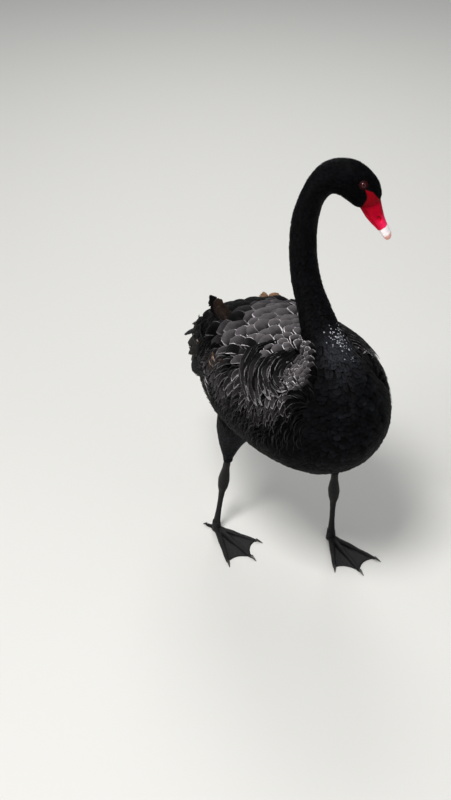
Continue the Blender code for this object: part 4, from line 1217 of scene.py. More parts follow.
def thigh_roots(side, seed):
    """Roots of the thigh's soft feathers, which hang to the hock."""
    chance = np.random.default_rng(seed + (side == "left"))
    rings, outer = (thigh_rings(side, depth, 120, 48) for depth in (0.0035, -0.0002))
    count = 2600
    i, k = chance.integers(1, 117, count), chance.integers(0, 48, count)
    root = rings[i, k]
    out = unit((root - rings.mean(1)[i]) * np.array([1, 1, 0.0]))
    length = chance.uniform(0.012, 0.024, count) * np.interp(i, (0, 30, 119), (0.4, 0.8, 1.1))
    low = i - length * 119 / (LEGS[side]["thigh"][0][2] - LEGS[side]["thigh"][-1][2])
    tip = outer[np.maximum(low, 0).astype(int), k] + np.array([0, 0, 0.001]) * np.minimum(
        low, 0)[:, None]
    middle = (root + tip) / 2 + out * 0.0016
    across = unit(np.cross(tip - root, out)) * chance.uniform(0.0018, 0.0034, count)[:, None]
    rise = unit(np.cross(across, middle - root))
    tone = np.stack([0.6 * chance.random(count), np.zeros(count), np.zeros(count)], -1)
    return {"root": root, "bend": 2 * middle - (root + tip) / 2, "tip": tip, "across": across,
            "rise": rise, "tip_rise": rise, "tone": tone, "kind": chance.integers(0, 3, count),
            "map_place": map_place(3.0 + chance.random(count),
                                   np.arctan2(out[:, 0], out[:, 1]))}


def degrees_down(turn):
    """How far places lie from the middle of the back, in degrees to either side."""
    return np.abs(np.degrees(wrapped(turn)))


def zones(s, turn):
    """Shares of the side's hanging curtain and of the soft flank below it."""
    down = degrees_down(turn)
    curtain = np.interp(s, (6.0, 7.0, 7.7), (34, 46, 104))
    return smooth((down - curtain) / 22), smooth((down - curtain - 26) / 24)


def wing_spacing(s, turn):
    """Distance between rimmed feathers: wide on the back, tight at the neck and low down."""
    top = np.interp(s, (0.5, 1.5, 2.5, 3.3, 4.4, 5.3, 6.3, 7.2, 8.0, 8.7),
                    (0.0090, 0.0110, 0.0140, 0.0155, 0.0118, 0.0088, 0.0068, 0.0052, 0.0046,
                     0.0044))
    side, flank = zones(s, turn)
    return top * (1 - side) + np.minimum(top, 0.0080 - 0.0020 * flank) * side


def wing_tone(s, turn, chance):
    """Shade, strength of rim and wear of each of the wing's feathers, with painted shadow in
    places.
    """
    count = len(s)
    side, flank = zones(s, turn)
    down = degrees_down(turn)
    # Low on the back's rear, under the raised tertials, the vanes turn near black and their rims
    # faint: painted shadow of the tertials. Down the side and flank the vanes darken and their
    # rims weaken, partly their own colour and partly painted shade of the lower side.
    rear = smooth((3.6 - s) / 0.7) * (1 - smooth((down - 60) / 14))
    shade = 0.72 * side + 0.26 * flank + 0.95 * rear + chance.uniform(-0.12, 0.12, count)
    rim = np.interp(s, (3.0, 3.7, 4.6, 6.0, 8.7), (0.03, 0.60, 1.20, 1.60, 1.90))
    rim = rim * (1 - 0.71 * side) * (1 - 0.97 * flank) * chance.uniform(0.4, 1.15, count)
    rim = rim * (0.45 + 0.55 * smooth((104 - down) / 30))
    # Towards the breast the feathers turn as black as it is.
    lower = np.interp(s, MANTLE_STATIONS, MANTLE_TURNS) - 34 * (wrapped(turn) > 0)
    fade = smooth((down - lower + 20) / 20)
    shade, rim = shade + fade, rim * (1 - fade)
    # A paler patch low on the wing's rear, and above it a brown one, worn by the water.
    patch = smooth((4.7 - s) / 0.6) * smooth((s - 2.7) / 0.4) * smooth((down - 64) / 8)
    shade = shade * (1 - 0.6 * patch * smooth((98 - down) / 10))
    tan = smooth((3.25 - s) / 0.3) * smooth((s - 2.5) / 0.2) * smooth((down - 56) / 5)
    tan = tan * smooth((76 - down) / 6) * (chance.random(count) < 0.45)
    return np.stack([np.clip(shade, 0, 1), np.clip(rim, 0, 1.5),
                     tan * chance.uniform(0.2, 0.8, count)], -1)


def wing_lie(s, turn):
    """Lie of the wing's feathers: back along the body, and down in a curtain at the side."""
    side, flank = zones(s, turn)
    droop = np.interp(s, (1, 2.5, 4, 5.5, 6.6, 7.6), (0.30, 0.60, 1.5, 1.9, 1.4, 0.7)) * side
    droop = 0.10 + droop * (1 - 0.55 * flank)
    way = rearward(s, turn) + np.array([0, 0, -1.0]) * droop[..., None]
    # Towards the neck the tips turn inwards and up, so that their rims stand as nested arcs.
    down = degrees_down(turn)
    inward = -np.sign(wrapped(turn)) * smooth(down / 15) * smooth((s - 3.4) / 1.4) * (1 - side)
    way = way + inward[..., None] * np.array([0.45, 0, 0])
    nest = smooth((s - 6.9) / 0.8) * smooth((down - 22) / 30)
    return way * (1 - nest[..., None]) + np.array([0, 0.85, 0.55]) * nest[..., None]


def ruffled(way, points, wave, spread, chance):
    """The lie with broad waves and a small spread of its own for each feather."""
    way = unit(way) + chance.normal(0, spread, points.shape)
    return way + wave * np.stack([ripple(points * 0.6, k) for k in (1, 2, 3)], -1)


def wing_roots(side, seed):
    """Roots of one side's rimmed feathers, from the mantle to the coverts."""
    chance = np.random.default_rng(seed)

    def chosen(s, t):
        return mantle(s, t) & (wrapped(t) * side >= -0.03) & (s > 1.1)

    s, turn = scatter(chosen, wing_spacing, seed, wing_lie, 2.0, 8)
    count = len(s)
    gap = wing_spacing(s, turn)
    hang, flank = zones(s, turn)
    way = ruffled(wing_lie(s, turn), form(s, turn), 0.20, 0.05, chance)
    length = gap * (3.2 + 2.0 * hang) * chance.uniform(0.85, 1.2, count)
    width = gap * (2.6 - 0.85 * hang - 0.60 * flank) * chance.uniform(0.8, 1.2, count)
    width = width * np.interp(s, (6.4, 7.4), (1.0, 1.30))
    depth = coat_depth(s, turn)
    ruffle = (0.0034 + 0.0014 * hang - 0.0034 * flank) * chance.random(count)
    ruffle = ruffle * np.interp(s, (1, 3, 6, 7.2), (1.2, 1.0, 0.9, 0.30))
    kind = chance.integers(0, 3, count) + 3 * (width < 0.017) + 3 * (width < 0.0075)
    arch = -side * length * (0.03 + 0.19 * hang) + chance.normal(0, 0.02, count) * length
    return laid_roots(s, turn, way, length, width, depth, -0.15 * depth + 0.5 * ruffle,
                      0.0005 + ruffle, kind, wing_tone(s, turn, chance), arch)


def curtain_roots(side, seed):
    """Long scapulars that arch backwards and hang over the wing in nested curves."""
    chance = np.random.default_rng(seed)
    rows = []
    for i in range(46):
        u, v = i / 45, chance.random()
        knots = ((4.6 + 2.2 * u, 17 + 17 * v), (4.25 + 2.3 * u, 40 + 12 * v),
                 (5.05 + 2.2 * u, 60 + 14 * v))
        knots = [(s + chance.normal(0, 0.07), math.radians(turn + chance.normal(0, 2)))
                 for s, turn in knots]
        lift = (0.0010, 0.0042 + 0.002 * chance.random(), 0.0030 + 0.003 * chance.random())
        root, middle, tip = (form(s, side * turn) + form_normal(s, side * turn) * high
                             for (s, turn), high in zip(knots, lift))
        normal = form_normal(knots[1][0], side * knots[1][1])
        tone = np.array([chance.uniform(0.76, 1.0), chance.uniform(0.08, 0.40), 0.0])
        rows.append(free_root(root, 2 * middle - (root + tip) / 2, tip, normal,
                              chance.uniform(0.006, 0.013), int(chance.integers(3, 6)), tone,
                              map_place(knots[0][0], np.array(side * knots[0][1]))))
    return stacked(rows)


def lock_roots(side, seed):
    """Loose pale-edged strands that stream down the side and flank."""
    chance = np.random.default_rng(seed)

    def chosen(s, t):
        down = degrees_down(t)
        return (wrapped(t) * side > 0) & (down > 40) & (down < 118) & (s > 2.4) & (s < 7.6)

    def spacing(s, t):
        return np.interp(degrees_down(t), (40, 60, 105, 122), (0.0100, 0.0068, 0.0066, 0.0120))

    s, turn = scatter(chosen, spacing, seed)
    count = len(s)
    hang, _ = zones(s, turn)
    way = ruffled(wing_lie(s, turn), form(s, turn), 0.30, 0.08, chance)
    length = chance.uniform(0.020, 0.044, count)
    width = chance.uniform(0.0008, 0.0018, count)
    fade = smooth((degrees_down(turn) - 84) / 30)
    pale = chance.random(count) ** 1.5 * 0.35 * (1 - 0.85 * fade) * smooth((7.6 - s) / 0.8)
    tone = np.stack([np.full(count, 0.8), pale, np.zeros(count)], -1)
    depth = coat_depth(s, turn)
    arch = -side * length * 0.22 * hang + chance.normal(0, 0.04, count) * length
    return laid_roots(s, turn, way, length, width, depth * 0.2, np.full(count, 0.0022),
                      chance.uniform(0.0008, 0.0034, count),
                      chance.integers(6, 9, count), tone, arch)


# Scapulars that stand up and curl over: station, turn, lie, length, width, lift and shade.
# The shade darkens the two front ones as painted shade in their cupped hollows, and the two
# rear ones as painted shadow under the tertials.
CURLED = (
    (4.36, 33, 0.9, 0.030, 0.019, 0.008, 0.80),
    (4.00, 43, 1.1, 0.032, 0.021, 0.009, 0.85),
    (3.20, 24, 0.6, 0.046, 0.032, 0.006, 0.95),
    (2.80, 42, 0.8, 0.046, 0.032, 0.007, 1.00),
)


def curled_roots(side, seed):
    """The raised and curled scapulars of one side."""
    chance = np.random.default_rng(seed)
    s, turn, lie, length, width, lift, shade = np.array(CURLED).T
    s = s + (side == 1) * chance.uniform(-0.3, 0.3, len(s))
    turn = np.radians(turn) * side
    way = rearward(s, turn) + np.array([0, 0, -1.0]) * lie[:, None]
    # The rear ones, behind station 3.6, get faint rims: painted shadow under the tertials.
    rim = np.where(s > 3.6, 1.15, 0.15)
    tone = np.stack([shade, rim, np.zeros(len(s))], -1)
    return laid_roots(s, turn, way, length, width, np.full(len(s), 0.004), lift, lift * 0.8,
                      chance.integers(0, 3, len(s)), tone, -side * length * 0.08)


# Worn feathers low on the wing's rear: station, turn, rise, length, width, brown and pale.
WORN = (
    (3.40, 67, 0.6, 0.026, 0.010, 0.9, 0.3), (3.35, 71, 0.4, 0.022, 0.007, 0.7, 0.2),
    (3.30, 62, 0.3, 0.020, 0.007, 0.4, 0.0), (3.70, 58, -0.3, 0.018, 0.006, 0.3, 0.0),
    (3.35, 89, 0.5, 0.026, 0.0055, 0.0, 1.0), (3.30, 94, 0.7, 0.028, 0.0050, 0.0, 0.8),
    (3.45, 99, 0.9, 0.030, 0.0030, 0.0, 0.9), (3.10, 83, 0.6, 0.016, 0.0030, 0.0, 0.9),
    (2.10, 72, 0.2, 0.020, 0.008, 0.6, 0.5),
)


def worn_roots(side):
    """Rusty and bleached feathers."""
    s, turn, rise, length, width, brown, pale = np.array(WORN).T
    turn = np.radians(turn) * side
    way = rearward(s, turn) + np.array([0, 0, 1.0]) * rise[:, None]
    tone = np.stack([np.full(len(s), 0.5), pale, brown], -1)
    return laid_roots(s, turn, way, length, width, np.full(len(s), -0.001),
                      np.full(len(s), 0.0056), np.full(len(s), 0.0046),
                      np.full(len(s), 7), tone)


def fold_outline(along):
    """Middle and half breadth of the folded wing, as turns from the back."""
    knots = (0.0, 0.12, 0.35, 0.7, 1.0)
    middle = np.interp(along, knots, np.radians((66, 66, 63, 58, 52)))
    half = np.interp(along, knots, np.radians((24, 40, 51, 48, 30)))
    return middle, half


def wing_place(side, along, across):
    """Station and turn of a place on the folded wing."""
    middle, half = fold_outline(along)
    return WING_FRONT + (WING_BACK - WING_FRONT) * along, side * (middle + half * across)


def free_root(root, bend, tip, normal, width, kind, tone, place):
    """One feather that leaves the body: from its root over a bend to its tip."""
    across = unit(np.cross(tip - root, normal)) * width / 2
    return {"root": root, "bend": bend, "tip": tip, "across": across,
            "rise": unit(np.cross(across, bend - root)),
            "tip_rise": unit(np.cross(across, tip - bend)),
            "kind": kind, "tone": tone, "map_place": place}


def stacked(rows):
    """Many single feathers as arrays."""
    return {key: np.array([row[key] for row in rows]) for key in rows[0]}


def long_roots(side, seed):
    """The raised tertials, each with others beside it, fanned and twisted apart."""
    chance = np.random.default_rng(seed)
    rows = []
    for index, (along, across, target, width, droop) in enumerate(WING_TIPS):
        forward, outward, up = LEFT_TIP if index == 0 and side == 1 else target
        for copy in range(6):
            shift = chance.normal(0, 1, 3) * (copy > 0)
            s, turn = wing_place(side, along - 0.04 * copy * (index < 5),
                                 across + 0.10 * shift[0])
            normal = form_normal(s, turn)
            root = form(s, turn) - normal * 0.0095
            lie = math.radians(droop)
            way = np.array([0.0, math.cos(lie), -math.sin(lie)])
            way = unit(way - normal * (way @ normal) * 0.8)
            tip = np.array([side * outward, -forward, up]) + STAND
            tip = root + (tip - root) * (1 - 0.09 * copy)
            tip = tip + shift * np.array([0.007, 0.004, 0.008])
            tip = tip + normal * 0.0015 * shift[1]
            bend = root + way * 0.52 * np.linalg.norm(tip - root)
            twist = unit(normal + unit(np.cross(normal, way)) * 0.45 * shift[2])
            worn = chance.uniform(0.0, 0.12) if index in (0, 3) and copy > 2 else 0.0
            rim = chance.uniform(0.0, 0.06)
            if index == 0 and side == 1:
                worn, rim = 1.0, 0.9
            tone = np.array([chance.uniform(0.98, 1.0), rim, worn])
            kind = int(chance.integers(0, 2)) if copy < 2 else int(chance.integers(0, 3))
            rows.append(free_root(root, bend, tip, twist, width * chance.uniform(0.7, 1.0),
                                  kind, tone, map_place(s, np.array(turn))))
    return stacked(rows)


def primary_roots(side, seed):
    """The folded primaries, white and almost hidden under the tertials."""
    chance = np.random.default_rng(seed)
    rows = []
    for i in range(5):
        s, turn = 1.5 - 0.08 * i, side * math.radians(62 + 6 * i)
        normal = form_normal(s, turn)
        root = form(s, turn) - normal * 0.012
        tip = np.array([side * (0.040 + 0.004 * i), 0.214 - 0.008 * i, 0.306 - 0.011 * i])
        tip = tip + STAND
        bend = (root + tip) / 2 - normal * 0.002
        tone = np.array([chance.random(), 0.0, 0.0])
        rows.append(free_root(root, bend, tip, normal, 0.022, 1, tone,
                              map_place(s, np.array(turn))))
    return stacked(rows)


def tail_roots(seed):
    """Tail vanes in a shallow fan, with coverts over and under their roots."""
    chance = np.random.default_rng(seed)
    rows = []
    count = 16
    for i in range(count):
        share = i / (count - 1) * 2 - 1
        fan = math.radians(TAIL_SPREAD) * share
        way = unit(np.array([math.sin(fan), math.cos(fan), -math.tan(TAIL_DROOP)]))
        root = np.array([0.020 * share, 0.207, 0.3235 - 0.004 * share ** 2
                         + 0.0012 * (i % 2)]) + STAND
        tip = root + way * (0.098 - 0.012 * share ** 2 + chance.uniform(-0.003, 0.002))
        up = unit(np.array([0.25 * share, math.sin(TAIL_DROOP), 1.0]))
        rows.append(free_root(root, (root + tip) / 2 + up * 0.003, tip, up, 0.024,
                              2 * (i % 2), np.array([chance.uniform(0.7, 1), 0.1, 0]),
                              map_place(0.1, np.array(0.5 * share))))
    for lift, droop, length, width in ((0.010, 0.42, 0.054, 0.020),
                                       (-0.016, 0.56, 0.058, 0.022)):
        for layer in range(2):
            for i in range(9):
                share = i / 8 * 2 - 1
                way = unit(np.array([0.36 * share, 1.0, -droop]))
                root = np.array([0.023 * share, 0.206 - 0.016 * layer,
                                 0.322 + lift * (1 - 0.35 * share ** 2)
                                 + math.copysign(0.004, lift) * layer]) + STAND
                up = unit(np.array([0.5 * share, 0.0, math.copysign(1.0, lift)]))
                tip = root + way * length * chance.uniform(0.85, 1.0)
                rows.append(free_root(root, (root + tip) / 2 + up * 0.005, tip, up, width,
                                      1, np.array([chance.uniform(0.7, 1), 0.2, 0]),
                                      map_place(0.3, np.array(1.2 * share))))
    return stacked(rows)


class SWAN_OT_wing_feathers(bpy.types.Operator):
    """Rimmed mantle, scapulars and coverts, then the long raised vanes of each wing"""
    bl_idname = "swan.wing_feathers"
    bl_label = "Wing feathers"

    def execute(self, context):
        coat = context.scene.swan_coat
        tree, forms, long = feather_tree(), vane_forms(), long_forms()
        material = wing_feathers_material(coat)
        white = feather_material("primary_feather_keratin", "#e4e1da", "#cfcbc2", "#8a857e",
                                 coat.worn, 0.5, 0.05)
        for side, name in ((1, "left"), (-1, "right")):
            piece = lay("wing_feathers_" + name, tree, forms, material,
                        wing_roots(side, coat.seed + 20 + side))
            finish_piece(piece, "wing_feathers", "wing_" + name)
            piece = lay("flank_locks_" + name, tree, forms, material,
                        lock_roots(side, coat.seed + 60 + side))
            finish_piece(piece, "wing_feathers")
            piece = lay("curled_scapulars_" + name, tree, forms, material,
                        curled_roots(side, coat.seed + 70 + side))
            finish_piece(piece, "wing_feathers")
            finish_piece(lay("hanging_scapulars_" + name, tree, forms, material,
                             curtain_roots(side, coat.seed + 80 + side)), "wing_feathers")
            finish_piece(lay("worn_feathers_" + name, tree, forms, material,
                             worn_roots(side)), "wing_feathers")
            piece = lay("tertials_" + name, tree, long, material,
                        long_roots(side, coat.seed + 30 + side))
            finish_piece(piece, "wing_feathers")
            piece = lay("primaries_" + name, tree, long, white,
                        primary_roots(side, coat.seed + 40 + side))
            finish_piece(piece, "wing_feathers")
        piece = lay("tail_feathers", tree, long, material, tail_roots(coat.seed + 50))
        finish_piece(piece, "wing_feathers", "tail")
        return {"FINISHED"}


# Bill and eyes

def bill_profile(t):
    """Half width, culmen, mouth line and lower edge of the bill at t from root to tip."""
    width = np.interp(t, (0, 0.3, 0.6, 0.84, 0.93, 0.98, 1.0),
                      (0.0140, 0.0131, 0.0122, 0.0119, 0.0097, 0.0060, 0.0030))
    culmen = np.interp(t, (0, 0.25, 0.45, 0.6, 0.85, 0.95, 1.0),
                       (0.0150, 0.0101, 0.0066, 0.0052, 0.0041, 0.0022, -0.0010))
    mouth = np.interp(t, (0, 0.3, 0.7, 1.0), (-0.0112, -0.0098, -0.0060, -0.0048))
    under = np.interp(t, (0, 0.25, 0.45, 0.65, 0.85, 0.96, 1.0),
                      (-0.0206, -0.0198, -0.0164, -0.0114, -0.0084, -0.0068, -0.0060))
    return width, culmen, mouth, under


def eased(values, passes=3):
    """Rows of numbers with their corners rounded off."""
    for _ in range(passes):
        inner = (values[:-2] + 2 * values[1:-1] + values[2:]) / 4
        values = np.concatenate([values[:1], inner, values[-1:]])
    return values


def bill_half(name, upper, length, end):
    """One half of the bill: domed outside, flat at the mouth, with a lip along its edge."""
    root, along, left, up = head_frame()
    t = np.concatenate([np.linspace(-0.10, 0.86, 76), np.linspace(0.87, end, 26)])
    width, culmen, mouth, under = (eased(row) for row in bill_profile(np.clip(t, 0, 1)))
    dome_steps, flat_steps = 40, 14
    roll = np.concatenate([np.linspace(0, math.pi, dome_steps), np.zeros(flat_steps)])
    flat_share = np.linspace(1, -1, flat_steps + 2)[1:-1]
    rings, alongs, crests = [], [], []
    for i in range(len(t)):
        crest, flat, wide = (culmen[i], mouth[i] + 0.0002, width[i]) if upper else \
            (under[i], mouth[i] - 0.0002, width[i] * 0.86)
        centre = root + along * length * t[i]
        dome = np.abs(np.sin(roll)) ** 0.72
        side = np.cos(roll)
        side[dome_steps:] = -flat_share
        dome[dome_steps:] = 0.0
        high = flat + (crest - flat) * dome
        # A soft lip runs along the cutting edge, and a shallow groove above it.
        lip = np.exp(-((dome - 0.06) / 0.07) ** 2) * 0.00035
        lip = lip - np.exp(-((dome - 0.30) / 0.10) ** 2) * 0.00022
        lip[dome_steps:] = 0.0
        wide_here = side * wide + np.sign(side) * lip * (wide > 0.006)
        if upper:
            # The nostril: a long oval pit in a low swelling, high on the side.
            place = (t[i] - 0.40) * length / 0.0062
            height = (high - 0.0018) / 0.0026
            away = np.sqrt(place ** 2 + height ** 2)
            pit = smooth((1.10 - away) / 0.5) * 0.0036
            swell = np.exp(-((away - 1.35) / 0.45) ** 2) * 0.0004
            pit[dome_steps:] = 0.0
            swell[dome_steps:] = 0.0
            wide_here = wide_here - np.sign(side) * (pit - swell) * (np.abs(side) > 0.25)
            # The nail is a slightly raised shield at the tip.
            nail = smooth((t[i] - 0.80) / 0.05) * smooth((dome - 0.55) / 0.25) * 0.0005
            high = high + nail
        # Behind its root the bill narrows inside the head.
        shrink = 1 + 2.0 * min(t[i], 0)
        ring = centre + (left * wide_here[:, None] + up * high[:, None]) * shrink
        rings.append(ring)
        alongs.append(np.full(len(roll), t[i]))
        # The painted highlight leaves out the pit of the nostril, which stays dark red: painted
        # shade in the hollow.
        crests.append(dome * (1 - pit / 0.0036) if upper else dome)
    made = loft(name, rings, {"along": alongs, "crest": crests})
    return made


class SWAN_OT_bill(bpy.types.Operator):
    """Upper and lower bill of smooth horn, with nostrils, lips, band and nail"""
    bl_idname = "swan.bill"
    bl_label = "Bill"

    def execute(self, context):
        bill = context.scene.swan_bill
        material = bill_material(bill)
        for name, upper, end in (("bill_upper_horn", True, 1.0), ("bill_lower_horn", False,
                                                                  0.985)):
            piece = bill_half(name, upper, bill.length, end)
            piece.data.materials.append(material)
            finish_piece(piece, "bill", "bill_upper" if upper else "bill_lower")
        return {"FINISHED"}


def eye_rings(seat, out, level, rows, around, stretch=(1.0, 1.0)):
    """Rings round an eye's axis, from rows of radius and height above the seat."""
    high = np.cross(out, level)
    turns = np.linspace(0, 2 * math.pi, around, endpoint=False)
    rings = []
    for radius, height in rows:
        rings.append([seat + out * height + level * (radius * stretch[0] * math.cos(a))
                      + high * (radius * stretch[1] * math.sin(a)) for a in turns])
    return rings


class SWAN_OT_eyes(bpy.types.Operator):
    """Eyeballs with a bulging cornea, set deep behind two folded lids"""
    bl_idname = "swan.eyes"
    bl_label = "Eyes and lids"

    def execute(self, context):
        coat, bill = context.scene.swan_coat, context.scene.swan_bill
        glass = eye_material(bill)
        skin = skin_material(coat, bill)
        _, along, _, _ = head_frame()
        radius, sunk = bill.eye_radius, bill.eye_sunk
        for side, name in ((1, "left"), (-1, "right")):
            seat, out = eye_seat(side)
            level = unit(along - out * (along @ out))
            angles = np.linspace(0.04, math.pi - 0.04, 40)
            rows, values = [], []
            for a in angles:
                wide = radius * math.sin(a)
                bulge = 0.0003 * smooth(1 - wide / 0.0044) * (a < 1.5)
                rows.append((wide, radius * math.cos(a) - sunk + bulge))
                values.append(np.full(48, min(wide / 0.0056, 1.0) if a < 1.57 else 1.0))
            ball = loft("eye_" + name + "_ball", eye_rings(seat, out, level, rows, 48),
                        {"ring": values})
            ball.data.materials.append(glass)
            finish_piece(ball, "eye", "eye_" + name)
            finish_piece(self.lids(name, seat, out, level, skin), "body_feathers")
        return {"FINISHED"}

    def lids(self, name, seat, out, level, material):
        """Upper and lower lid as one closed ring of skin with fine folds round the eye."""
        high = np.cross(out, level)
        around, points = 96, []
        profile = ((4.35, 0.40), (4.40, 0.95), (4.58, 1.32), (4.85, 1.45), (5.10, 1.34),
                   (5.26, 1.14), (5.48, 1.16), (5.74, 0.98), (5.92, 0.74), (6.18, 0.70),
                   (6.50, 0.44), (6.90, 0.05), (7.40, -0.45), (7.10, -1.10), (6.10, -1.20),
                   (5.00, -0.60))
        for k in range(around):
            a = 2 * math.pi * k / around
            # The opening is an almond: pointed at its corners, flatter below.
            almond = 1.10 * abs(math.cos(a)) + 0.0
            for reach, height in profile:
                near = max(0.0, 1 - (reach - 4.35) / 2.4)
                corner = abs(math.cos(a)) ** 6 * near
                lid = reach * (1 + 0.10 * near * (almond - 0.9)) + 0.5 * corner
                wrinkle = 0.05 * math.sin(a * 17 + reach * 1.3) * (reach > 5.2)
                upper = 0.12 * near * max(0.0, math.sin(a))
                rise = height - 0.45 * corner + upper + wrinkle
                points.append(seat + (level * math.cos(a) + high * math.sin(a)) * lid * 0.001
                              + out * rise * 0.001)
        faces = []
        n = len(profile)
        for k in range(around):
            for j in range(n):
                a, b = k * n + j, k * n + (j + 1) % n
                c, d = ((k + 1) % around) * n + (j + 1) % n, ((k + 1) % around) * n + j
                faces.append((a, b, c, d))
        made = mesh_object("eyelids_" + name, points, faces)
        give(made, "bare", np.full(len(points), 0.07))
        outward(made)
        made.data.materials.append(material)
        return made


# Legs and feet

def place(forward, left_by, height):
    """A point from its distances forward, to the left and up."""
    return np.array([left_by, -forward, height]) + STAND


class SWAN_OT_legs(bpy.types.Operator):
    """Scaled shanks, webbed feet and separate claws"""
    bl_idname = "swan.legs"
    bl_label = "Legs and feet"

    def execute(self, context):
        legs = context.scene.swan_legs
        skin, horn = leg_material(legs), claw_material()
        for side in ("left", "right"):
            shank = self.shank(side)
            shank.data.materials.append(skin)
            finish_piece(shank, "leg_skin", "shank_" + side)
            foot, claws = self.foot(side, legs.web_sag)
            foot.data.materials.clear()
            foot.data.materials.append(skin)
            finish_piece(foot, "leg_skin", "foot_" + side)
            claws.data.materials.append(horn)
            finish_piece(claws, "leg_skin")
        return {"FINISHED"}

    def shank(self, side):
        """The bare leg, with overlapping plates in front and small scales behind."""
        leg = LEGS[side]
        top = place(*leg["thigh"][-1][:3])
        hock, joint = place(*leg["hock"]), place(*leg["joint"])
        knots = [(top + np.array([0, 0, 0.008]), 0.0060, 0.0070), (top, 0.0064, 0.0074)]
        for t, wide, deep in ((0.48, 0.0066, 0.0078), (0.74, 0.0088, 0.0106),
                              (1.0, 0.0104, 0.0128)):
            knots.append((top * (1 - t) + hock * t, wide, deep))
        for t, wide, deep in ((0.14, 0.0090, 0.0114), (0.27, 0.0056, 0.0074),
                              (0.45, 0.0045, 0.0061), (0.70, 0.0045, 0.0061),
                              (0.90, 0.0058, 0.0073), (1.0, 0.0072, 0.0084)):
            knots.append((hock * (1 - t) + joint * t, wide, deep))
        centres = np.array([knot[0] for knot in knots])
        length = np.concatenate([[0], np.cumsum(np.linalg.norm(np.diff(centres, axis=0),
                                                               axis=1))])
        steps = np.linspace(0, length[-1], 130)
        rings = []
        for d in steps:
            centre = np.array([np.interp(d, length, centres[:, i]) for i in range(3)])
            wide = np.interp(d, length, [knot[1] for knot in knots])
            deep = np.interp(d, length, [knot[2] for knot in knots])
            ring = []
            for a in np.linspace(0, 2 * math.pi, 32, endpoint=False):
                front = max(0.0, -math.sin(a)) ** 0.8
                phase = (d / 0.0042) % 1.0
                plate = -0.00045 * (1 - min(1.0, phase / 0.16)) * front
                ridge = -0.0010 * max(0.0, 1 - abs(abs(math.cos(a)) - 0.75) / 0.2) \
                    * max(0.0, math.sin(a))
                reach = 1 + (plate + ridge) / wide
                ring.append(centre + np.array([wide * math.cos(a) * reach,
                                               deep * math.sin(a) * reach, 0]))
            rings.append(ring)
        return loft("shank_skin_" + side, rings)

    def toe(self, name, start, direction, length, width):
        """A toe with swollen joints, plates along its top and a flat sole."""
        side = np.cross(np.array([0, 0, 1.0]), direction)
        rings = []
        for t in np.linspace(0, 1, 56):
            swell = np.interp(t, np.linspace(0, 1, 6), (1.0, 0.86, 0.95, 0.76, 0.82, 0.62))
            half = width / 2 * swell * (1 - 0.25 * t)
            height = 0.011 * swell * (1 - 0.45 * t)
            close = math.sqrt(max(0.0, 1 - max(0.0, (t - 0.94) / 0.07) ** 2))
            centre = start + direction * length * t
            phase = (t * length / 0.0030) % 1.0
            ring = []
            for a in np.linspace(0, 2 * math.pi, 20, endpoint=False):
                top = max(0.0, math.sin(a)) ** 0.5
                groove = 0.00040 * (1 - min(1.0, phase / 0.22)) * top
                up = height * (0.35 + 0.65 * math.sin(a) * close) - groove
                ring.append(centre + side * half * math.cos(a) * close
                            + np.array([0, 0, max(0.0002, up)]))
            rings.append(ring)
        return loft(name, rings)

    def claw(self, name, start, direction, length):
        """A blunt claw, curved down to the floor."""
        side = np.cross(np.array([0, 0, 1.0]), direction)
        rings = []
        for t in np.linspace(0, 1, 16):
            half = 0.0027 * (1 - 0.80 * t ** 1.3)
            deep = 0.0024 * (1 - 0.78 * t ** 1.2)
            centre = start + direction * length * (t * 1.15 - 0.15)
            high = deep + 0.0022 * (1 - t) ** 0.8
            rings.append([centre + side * half * math.cos(a)
                          + np.array([0, 0, high + deep * math.sin(a)])
                          for a in np.linspace(0, 2 * math.pi, 16, endpoint=False)])
        return loft(name, rings)

    def web(self, name, start, one, other, sag):
        """The web between two toes: a thin sheet with fine folds that hangs a little."""
        across, along = 22, 26
        top, bottom = [], []
        for i in range(along + 1):
            r = i / along
            for k in range(across + 1):
                a = k / across
                edge = 1 - 0.34 * a * (1 - a)
                reach = one * (1 - a) + other * a
                point = start + reach * r * 0.97 * edge
                fold = 0.0003 * math.sin(a * 40) * math.sin(math.pi * a) * r
                hang = sag * math.sin(math.pi * a) * r
                rise = 0.0038 * (1 - 0.45 * r) - hang + fold
                top.append(point + np.array([0, 0, rise]))
                bottom.append(point + np.array([0, 0, 0.0006]))
        n, count = across + 1, (across + 1) * (along + 1)
        faces = []
        for i in range(along):
            for k in range(across):
                a = i * n + k
                faces.append((a, a + 1, a + 1 + n, a + n))
                faces.append((count + a, count + a + n, count + a + 1 + n, count + a + 1))
        rim = [k for k in range(n)] + [i * n + across for i in range(1, along + 1)]
        rim += [along * n + k for k in range(across - 1, -1, -1)]
        rim += [i * n for i in range(along - 1, 0, -1)]
        for a, b in zip(rim, rim[1:] + rim[:1]):
            faces.append((a, b, count + b, count + a))
        made = mesh_object(name, top + bottom, faces)
        return outward(made)

